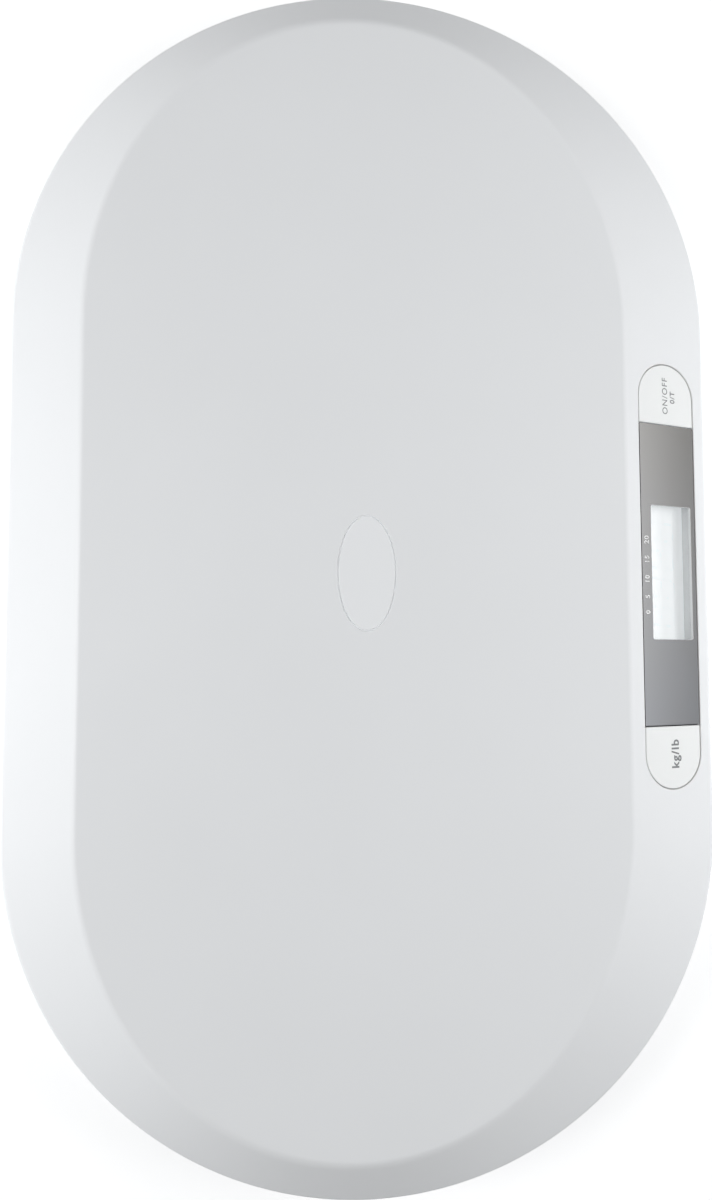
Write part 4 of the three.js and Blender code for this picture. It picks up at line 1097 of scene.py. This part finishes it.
def legend_mesh(words, height, place, weight):
    """Raised letters of that height, laid on the bevel's face and centred on a place of the strip."""
    curve = bpy.data.curves.new("legend", "FONT")
    curve.body, curve.size, curve.offset = words, height, weight
    curve.extrude = (ink_thickness + ink_overlap) / 2
    curve.space_character = legend_spacing
    curve.align_x, curve.align_y = "CENTER", "CENTER"
    carrier = link_object("legend", curve)
    mesh = bpy.data.meshes.new_from_object(carrier.evaluated_get(bpy.context.evaluated_depsgraph_get()))
    bpy.data.objects.remove(carrier)
    middle = -face_step + (ink_thickness - ink_overlap) / 2
    points = [(place[0] + v.co.x, place[1] + v.co.y, middle + v.co.z) for v in mesh.vertices]
    for vertex, point in zip(mesh.vertices, on_strip([points])[0]):
        vertex.co = point
    body = bmesh.new()
    body.from_mesh(mesh)
    return welded_mesh(body, mesh)


inks = {ink: clouded(*ink[:2], **ink_cover, IOR=1.5) for ink in (grey_ink, white_ink)}
for name, body, words, height, place, weight, ink in legends:
    mesh = legend_mesh(words, height, place, weight)
    mesh.materials.clear()
    mesh.materials.append(inks[ink])
    legend = link_object(name, mesh)
    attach(legend, body)


# Housing screws
# Six self tapping screws of plated steel, with a cross recess in a pan head, are driven up through the base
# towers into the bosses of the cover.
screw_head_radius = 3.6 * mm
screw_head_height = 2.2 * mm
screw_shank_radius = 1.5 * mm
screw_root_radius = 1.15 * mm
screw_seat = 19.2 * mm
screw_grip = 15.5 * mm
screw_pitch = 1.25 * mm
thread_start = 1.5 * mm
recess_reach = 2.1 * mm
recess_half_width = 0.42 * mm
recess_depth = 1.3 * mm
recess_taper = 0.189 * mm
screw_steps = 48
screw_edge = 0.9 * mm
screw_top_round = 0.45 * mm
screw_side_round = 0.54 * mm
screw_seat_round = 0.1 * mm
thread_flank = 0.4 * screw_pitch
thread_crest = 0.5 * screw_pitch


def brushed_steel(name, colour, roughness):
    """Plated or rolled steel with fine scratches and a little cloudiness."""
    gloss = (0.1, 0.14, roughness - 0.12)
    return clouded(name, colour, clouds=(6 * mm, 3.0), tones=(0.16, 0.92), gloss=gloss,
                   grain=(0.15 * mm, 1.0), Metallic=1.0)


def cross(reach, half, place):
    """Outline of a cross recess that takes a margin."""

    def outline(margin):
        arm, side = reach + margin, half + margin
        corner = (complex(arm, side), complex(side, side), complex(side, arm))
        points = [way * point for way in (1, 1j, -1, -1j) for point in corner]
        return [(place[0] + point.real, place[1] + point.imag) for point in points]

    return outline


head_level = screw_seat - screw_head_height
screw_section = [
    (0, head_level), (screw_head_radius - screw_edge, head_level, screw_top_round),
    (screw_head_radius, head_level + screw_edge, screw_side_round),
    (screw_head_radius, screw_seat, screw_seat_round), (screw_shank_radius, screw_seat),
]
level = screw_seat + thread_start
while level + screw_pitch < screw_seat + screw_grip - screw_shank_radius:
    screw_section += [(screw_root_radius, level), (screw_shank_radius, level + thread_flank),
                      (screw_shank_radius, level + thread_crest)]
    level += screw_pitch
screw_section += [(screw_root_radius, level), (screw_root_radius, level + thread_crest),
                  (0, screw_seat + screw_grip)]
screw_steel = brushed_steel("screw_steel", tone(205, 206, 206), 0.3)
for number, place in enumerate(screw_places, 1):
    screw = turned(f"housing_screw_{number}_turned", screw_section, [place], screw_steps, screw_steel)
    arms = cross(recess_reach, recess_half_width, place)
    recess = plain(arms, head_level - cut_overrun, head_level)
    recess.append(at_level(arms(-recess_taper), head_level + recess_depth))
    cut(screw, lofted("recess", recess))
    fitted(screw, f"housing_screw_{number}")


# Battery door
# A flat white plate closes the bay from below. Two tongues hook over the back edge of its recess, and a
# sprung latch finger between two slots snaps under the front edge, with grip grooves for the thumb.
door_half = (28.3 * mm, 25.95 * mm)
door_thickness = 2 * mm
door_corner = 1.2 * mm
door_edge = 0.35 * mm
tongue_y = (23.75 * mm, 28.45 * mm)
tongue_corner = 0.4 * mm
tongue_level = (10.7 * mm, 12.2 * mm)
latch_slot_x = 6.5 * mm
latch_slot_half = 0.5 * mm
latch_slot_corner = 0.3 * mm
latch_slot_mouth = 0.175 * mm
latch_length = 14 * mm
grip_pitch = 1.6 * mm
grip_half = 0.35 * mm
grip_corner = 0.28 * mm
grip_half_length = 4.2 * mm
grip_depth = 0.25 * mm
grip_mouth = 0.125 * mm
grip_count = 4
door_top = base_clearance + door_thickness
plate = pressed(oblong(*door_half, door_corner), door_top, base_clearance, door_edge)
door = lofted("battery_door_plate", plate, base_plastic)
tongue_halves = (tongue_half, (tongue_y[1] - tongue_y[0]) / 2)
slot_halves = (latch_slot_half, (latch_length + cut_overrun) / 2)
slot_y = latch_length / 2 - door_half[1] - cut_overrun / 2
for side in (1, -1):
    tongue = oblong(*tongue_halves, tongue_corner, (side * tongue_x, sum(tongue_y) / 2))
    join(door, lofted("tongue", plain(tongue, *tongue_level)))
    slot = oblong(*slot_halves, latch_slot_corner, (side * latch_slot_x, slot_y))
    cut(door, lofted("slot", mouth(slot, base_clearance, door_top + cut_overrun, latch_slot_mouth)))
for number in range(grip_count):
    y = grip_pitch * (number + 1.5) - door_half[1]
    groove = mouth(oblong(grip_half_length, grip_half, grip_corner, (0, y)), base_clearance,
                   base_clearance + grip_depth, grip_mouth)
    cut(door, lofted("grip groove", groove))
fitted(door, "battery_door", "door")


# Cells and coil springs
# Four small cells lie side by side in the bay, facing alternately. Each has a printed jacket with a plain
# band, a plated cap with a nub, and a coil spring of plated wire that pushes on its flat end.
cell_radius = 5.25 * mm
cell_half_length = 22.25 * mm
cell_nub_radius = 1.9 * mm
cell_nub_length = 0.8 * mm
cell_cap_radius = 4.1 * mm
cell_crimp = 0.3 * mm
cell_edge = 0.5 * mm
cell_fine_round = 0.09 * mm
cell_cap_round = 0.15 * mm
cell_nub_round = 0.3 * mm
cell_steps = 72
cell_shift = 2.35 * mm
cell_band = 8 * mm
spring_turns = 3.5
spring_base_radius = 3.3 * mm
spring_tip_radius = 2.1 * mm
spring_wire_radius = 0.3 * mm
spring_length = 4.4 * mm
spring_foot = 24.6 * mm
spring_resolution = 28
wire_sides = 10
cell_front = cell_half_length - cell_nub_length
cell_section = [
    (0, -cell_half_length), (cell_cap_radius, -cell_half_length, cell_cap_round),
    (cell_cap_radius, cell_crimp - cell_half_length),
    (cell_cap_radius + cell_crimp, cell_crimp - cell_half_length),
    (cell_cap_radius + 2 * cell_crimp, cell_fine_round - cell_half_length, cell_fine_round),
    (cell_radius, cell_fine_round - cell_half_length, cell_edge), (cell_radius, cell_front, cell_edge),
    (cell_cap_radius + cell_crimp, cell_front, cell_fine_round),
    (cell_cap_radius + cell_crimp, cell_front - 2 * cell_crimp),
    (cell_cap_radius - cell_crimp, cell_front - cell_crimp, cell_fine_round),
    (cell_nub_radius, cell_front - cell_crimp, cell_fine_round),
    (cell_nub_radius, cell_half_length, cell_nub_round), (0, cell_half_length),
]


def cell_finish(name, place, way):
    """Plated ends inside the crimp, and a glossy jacket with a coloured band next to the nub."""
    finish = Finish(name)
    x, y, z = finish.parts_of(finish.place)
    along = (x - place[0]) * way
    dy, dz = y - place[1], z - place[2]
    out = (dy * dy + dz * dz).math("SQRT")
    jacket = out.math("GREATER_THAN", cell_cap_radius + 1.5 * cell_crimp)
    band = along.math("GREATER_THAN", cell_half_length - cell_band)
    wear = finish.noise(3 * mm, 3.0)
    printed = finish.mixed(band, tone(58, 60, 64), tone(196, 128, 62))
    finish.give(Base_Color=finish.mixed(jacket, tone(205, 204, 200), printed), Metallic=1 - jacket,
                Roughness=wear * 0.12 + 0.24)
    return finish.material


def spring_recipe():
    """A conical coil of round wire that stands on its wide end, at each place."""
    recipe = Recipe("Coil spring", "Turns", "Base Radius", "Tip Radius", "Wire Radius", "Length", "Lie")
    turns, base_radius, tip_radius, wire, length, lie = recipe.sizes
    coil = recipe.result("GeometryNodeCurveSpiral", Resolution=spring_resolution, Rotations=turns,
                         Start_Radius=base_radius, End_Radius=tip_radius, Height=length - wire * 2)
    raised = recipe.result("GeometryNodeTransform", Geometry=coil, Translation=recipe.vector(0, 0, wire))
    ring = recipe.result("GeometryNodeCurvePrimitiveCircle", Resolution=wire_sides, Radius=wire)
    shape = recipe.result("GeometryNodeCurveToMesh", Curve=raised, Profile_Curve=ring, Fill_Caps=True)
    return recipe.finish_at(recipe.drawing, shape, lie=lie)


coiling = spring_recipe()
plated_steel = brushed_steel("plated_steel", tone(214, 212, 206), 0.26)
for number, y in enumerate(cell_rows, 1):
    way = 1 if number % 2 else -1
    turn = 0 if way > 0 else math.pi
    place = (way * cell_shift, y, cell_axis)
    jacket = cell_finish(f"battery_{number}_print", place, way)
    cell = turned(f"battery_{number}_jacket", cell_section, [place], cell_steps, jacket, [turn], lie=lying)
    fitted(cell, f"battery_{number}")
    foot = (-way * spring_foot, y, cell_axis)
    spring = made(f"contact_spring_{number}_coil", coiling, drawing([], [foot], [turn]), plated_steel,
                  turns=spring_turns, base_radius=spring_base_radius, tip_radius=spring_tip_radius,
                  wire_radius=spring_wire_radius, length=spring_length, lie=lying)
    fitted(spring, f"contact_spring_{number}")


# Inner parts kept from the model
# The circuit board with its chip and switches, the contact plates, the steel load sensors in their brackets
# and the leads keep their modelled shapes, and get their finishes and smooth round faces here.
track_patch = 2.2 * mm
track_bands = 40
track_share = 0.82
zebra_pitch = 0.4 * mm


def circuit_board(name):
    """Green solder mask over copper tracks."""
    finish = Finish(name, IOR=1.5)
    tracks = finish.noise(track_patch, 0.0)
    lines = (tracks * track_bands).math("SINE").math("GREATER_THAN", track_share)
    dust = finish.noise(12 * mm, 3.0)
    colour = finish.mixed(lines, tone(34, 92, 58), tone(62, 124, 82))
    finish.give(Base_Color=colour, Roughness=dust * 0.2 + 0.32)
    finish.bump(lines, 0.03 * mm)
    return finish.material


def black_moulding(name, colour):
    """Matt black moulding compound."""
    specks = (0.2 * mm, 1.0)
    return clouded(name, colour, clouds=specks, tones=(0.4, 0.8), gloss=(0.16, 0.0, 0.45), grain=specks,
                   depth=0.01 * mm, IOR=1.5)


def zebra_rubber(name):
    """Elastomer strip with fine conducting layers across it."""
    finish = Finish(name, IOR=1.5)
    x, _, _ = finish.parts_of(finish.place)
    layers = (x * (math.tau / zebra_pitch)).math("SINE").math("GREATER_THAN", 0.0)
    colour = finish.mixed(layers, tone(70, 72, 74), tone(24, 24, 26))
    finish.give(Base_Color=colour, Roughness=finish.noise(1 * mm) * 0.1 + 0.7)
    return finish.material


def lead_sleeve(name, colour):
    """Soft plastic sleeve of a lead, slightly scuffed."""
    return clouded(name, colour, clouds=(1.5 * mm, 3.0), tones=(0.16, 0.92), gloss=(0.16, 0.36), IOR=1.5)


def smoothing_recipe():
    """Welds loose triangles and rounds the shading, except over sharp edges."""
    recipe = Recipe("Even shading", "Sharp Angle")
    welded = recipe.result("GeometryNodeMergeByDistance", Geometry=recipe.drawing, Distance=weld_distance)
    angle = recipe.measured("GeometryNodeInputMeshEdgeAngle", "Unsigned Angle")
    flat = angle.math("LESS_THAN", recipe.sizes[0])
    shaded = recipe.result("GeometryNodeSetShadeSmooth", Geometry=welded, Shade_Smooth=flat, domain="EDGE")
    return recipe.finish(shaded)


smoothing = smoothing_recipe()
chip_black = black_moulding("chip_black", tone(34, 35, 37))
kept = (
    (circuit_board("solder_mask"), ("main_board",)),
    (chip_black, ("controller_chip", "power_switch", "unit_switch")),
    (black_moulding("power_plunger", tone(64, 62, 60)), ("power_switch_plunger",)),
    (black_moulding("unit_plunger", tone(64, 62, 60)), ("unit_switch_plunger",)),
    (zebra_rubber("zebra_strip"), ("lcd_contact_strip",)),
    (plated_steel, ("plus_contact", "minus_contact", "bridge_contact")),
    (screw_steel, ("board_screw",)),
    (brushed_steel("sensor_steel", tone(150, 151, 153), 0.42), ("load_sensor",)),
    (base_plastic, ("sensor_bracket",)),
    (lead_sleeve("sleeve_white", tone(226, 227, 224)), ("sensor_lead",)),
    (lead_sleeve("sleeve_red", tone(176, 38, 34)), ("plus_lead",)),
    (lead_sleeve("sleeve_black", tone(38, 38, 40)), ("minus_lead",)),
)
for material, kinds in kept:
    for name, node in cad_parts.items():
        if name.rstrip("_1234") in kinds:
            follow(node, smoothing, material, sharp_angle=sharp_angle)
            for slot in node.material_slots:
                slot.material = material


# Studio
# The scale lies on a pale paper floor that brightens to white further out, between soft boxes behind it and
# in front of it. A pool of light below keeps the underside clear. The camera looks down from above it.
floor_reach = 3.0
floor_glow = 0.4
sweep_start = 0.4
sweep_length = 0.8
floor_drop = 0.05 * mm
pool_half_length = 0.24
pool_half_width = 0.13
pool_glow = 0.3
camera_place = (-0.0379, 0.0330, 0.4434)
camera_turn = (3.64, -3.997, -90.08)
camera_lens = 27
camera_film = 36
camera_nearest = 0.01

stage_mesh = bpy.data.meshes.new("floor")
corners = [(x * floor_reach, y * floor_reach, -floor_drop) for x, y in quarters]
stage_mesh.from_pydata(corners, [], [(0, 1, 2, 3)])
floor = link_object("floor", stage_mesh)
paper = Finish("floor_paper", Roughness=0.9, Emission_Color=tone(255, 255, 255))
paper_tone = paper.shaded(tone(232, 233, 234), paper.noise(80 * mm) * 0.01 + 0.995)
seen = paper.measured("ShaderNodeLightPath", "Is Camera Ray")
x, y, _ = paper.parts_of(paper.place)
sweep = (((x * x + y * y).math("SQRT") - sweep_start) / sweep_length).clamped()
along, across = x / pool_half_length, y / pool_half_width
pool = (along * along + across * across).math("LESS_THAN", 1.0)
glow = seen * (sweep * (1 - floor_glow) + floor_glow) + (1 - seen) * pool * pool_glow
paper.give(Base_Color=paper_tone, Emission_Strength=glow)
from_below = paper.measured("ShaderNodeNewGeometry", "Backfacing")
paper.mixed_surface(from_below, paper.shader.outputs[0], paper.result("ShaderNodeBsdfTransparent"))
stage_mesh.materials.append(paper.material)
floor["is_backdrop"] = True

world_fill = 0.33
front_glow = 1.3
front_glow_low = 0.412
front_glow_high = 0.56
front_glow_lean = 1.4
front_glow_gain = 2
scene = bpy.context.scene
world = bpy.data.worlds.new("studio")
scene.world = world
world.use_nodes = True
air = Sheet(world.node_tree)
back = world.node_tree.nodes["Background"]
camera_ray = air.measured("ShaderNodeLightPath", "Is Camera Ray")
glossy_ray = air.measured("ShaderNodeLightPath", "Is Glossy Ray")
x, y, z = air.parts_of(air.node("ShaderNodeTexCoord").outputs["Generated"])
rise = ((z - front_glow_low) / (front_glow_high - front_glow_low) * (x * front_glow_lean + 1)).clamped()
front = (y * -front_glow_gain).clamped()
air.link(tone(255, 255, 255), back.inputs["Color"])
mirrored = glossy_ray * rise * front * front_glow
air.link(camera_ray * (1 - world_fill) + mirrored + world_fill, back.inputs["Strength"])

aim_level = 0.03
boxes = (
    ("back_low_box", 0, 1.1, 7, (0.5, 0.2), 4.0),
    ("back_near_box", 0, 0.6, 9, (0.3, 0.15), 0.5),
    ("back_high_box", 0, 1.1, 45, (0.5, 0.3), 3.8),
    ("front_low_box", 0, -0.6, 7, (0.3, 0.1), 0.96),
    ("front_strip_box", 0, -1.1, 36, (0.5, 0.12), 1.7),
    ("front_side_box", 0.35, -1.1, 36, (0.5, 0.12), 1.0),
    ("front_high_box", 0, -0.8, 45, (0.5, 0.2), 0.85),
)
mirrored_box = "back_high_box"
for name, shift, distance, elevation, size, power in boxes:
    lamp = bpy.data.lights.new(name, "AREA")
    lamp.shape = "RECTANGLE"
    lamp.size, lamp.size_y = size
    lamp.energy = power
    angle = math.radians(elevation)
    offset = Vector((shift, distance * math.cos(angle), abs(distance) * math.sin(angle)))
    box = link_object(name, lamp)
    box.location = offset + Vector((0, 0, aim_level))
    box.rotation_euler = (-offset).to_track_quat("-Z", "Y").to_euler()
    box.visible_camera = False
    box.visible_glossy = name == mirrored_box

view = bpy.data.cameras.new("camera")
view.lens, view.sensor_width, view.clip_start = camera_lens, camera_film, camera_nearest
camera = link_object("camera", view)
camera.location = camera_place
camera.rotation_euler = [math.radians(angle) for angle in camera_turn]
scene.camera = camera
scene.view_settings.view_transform = "Standard"

low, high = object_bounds()
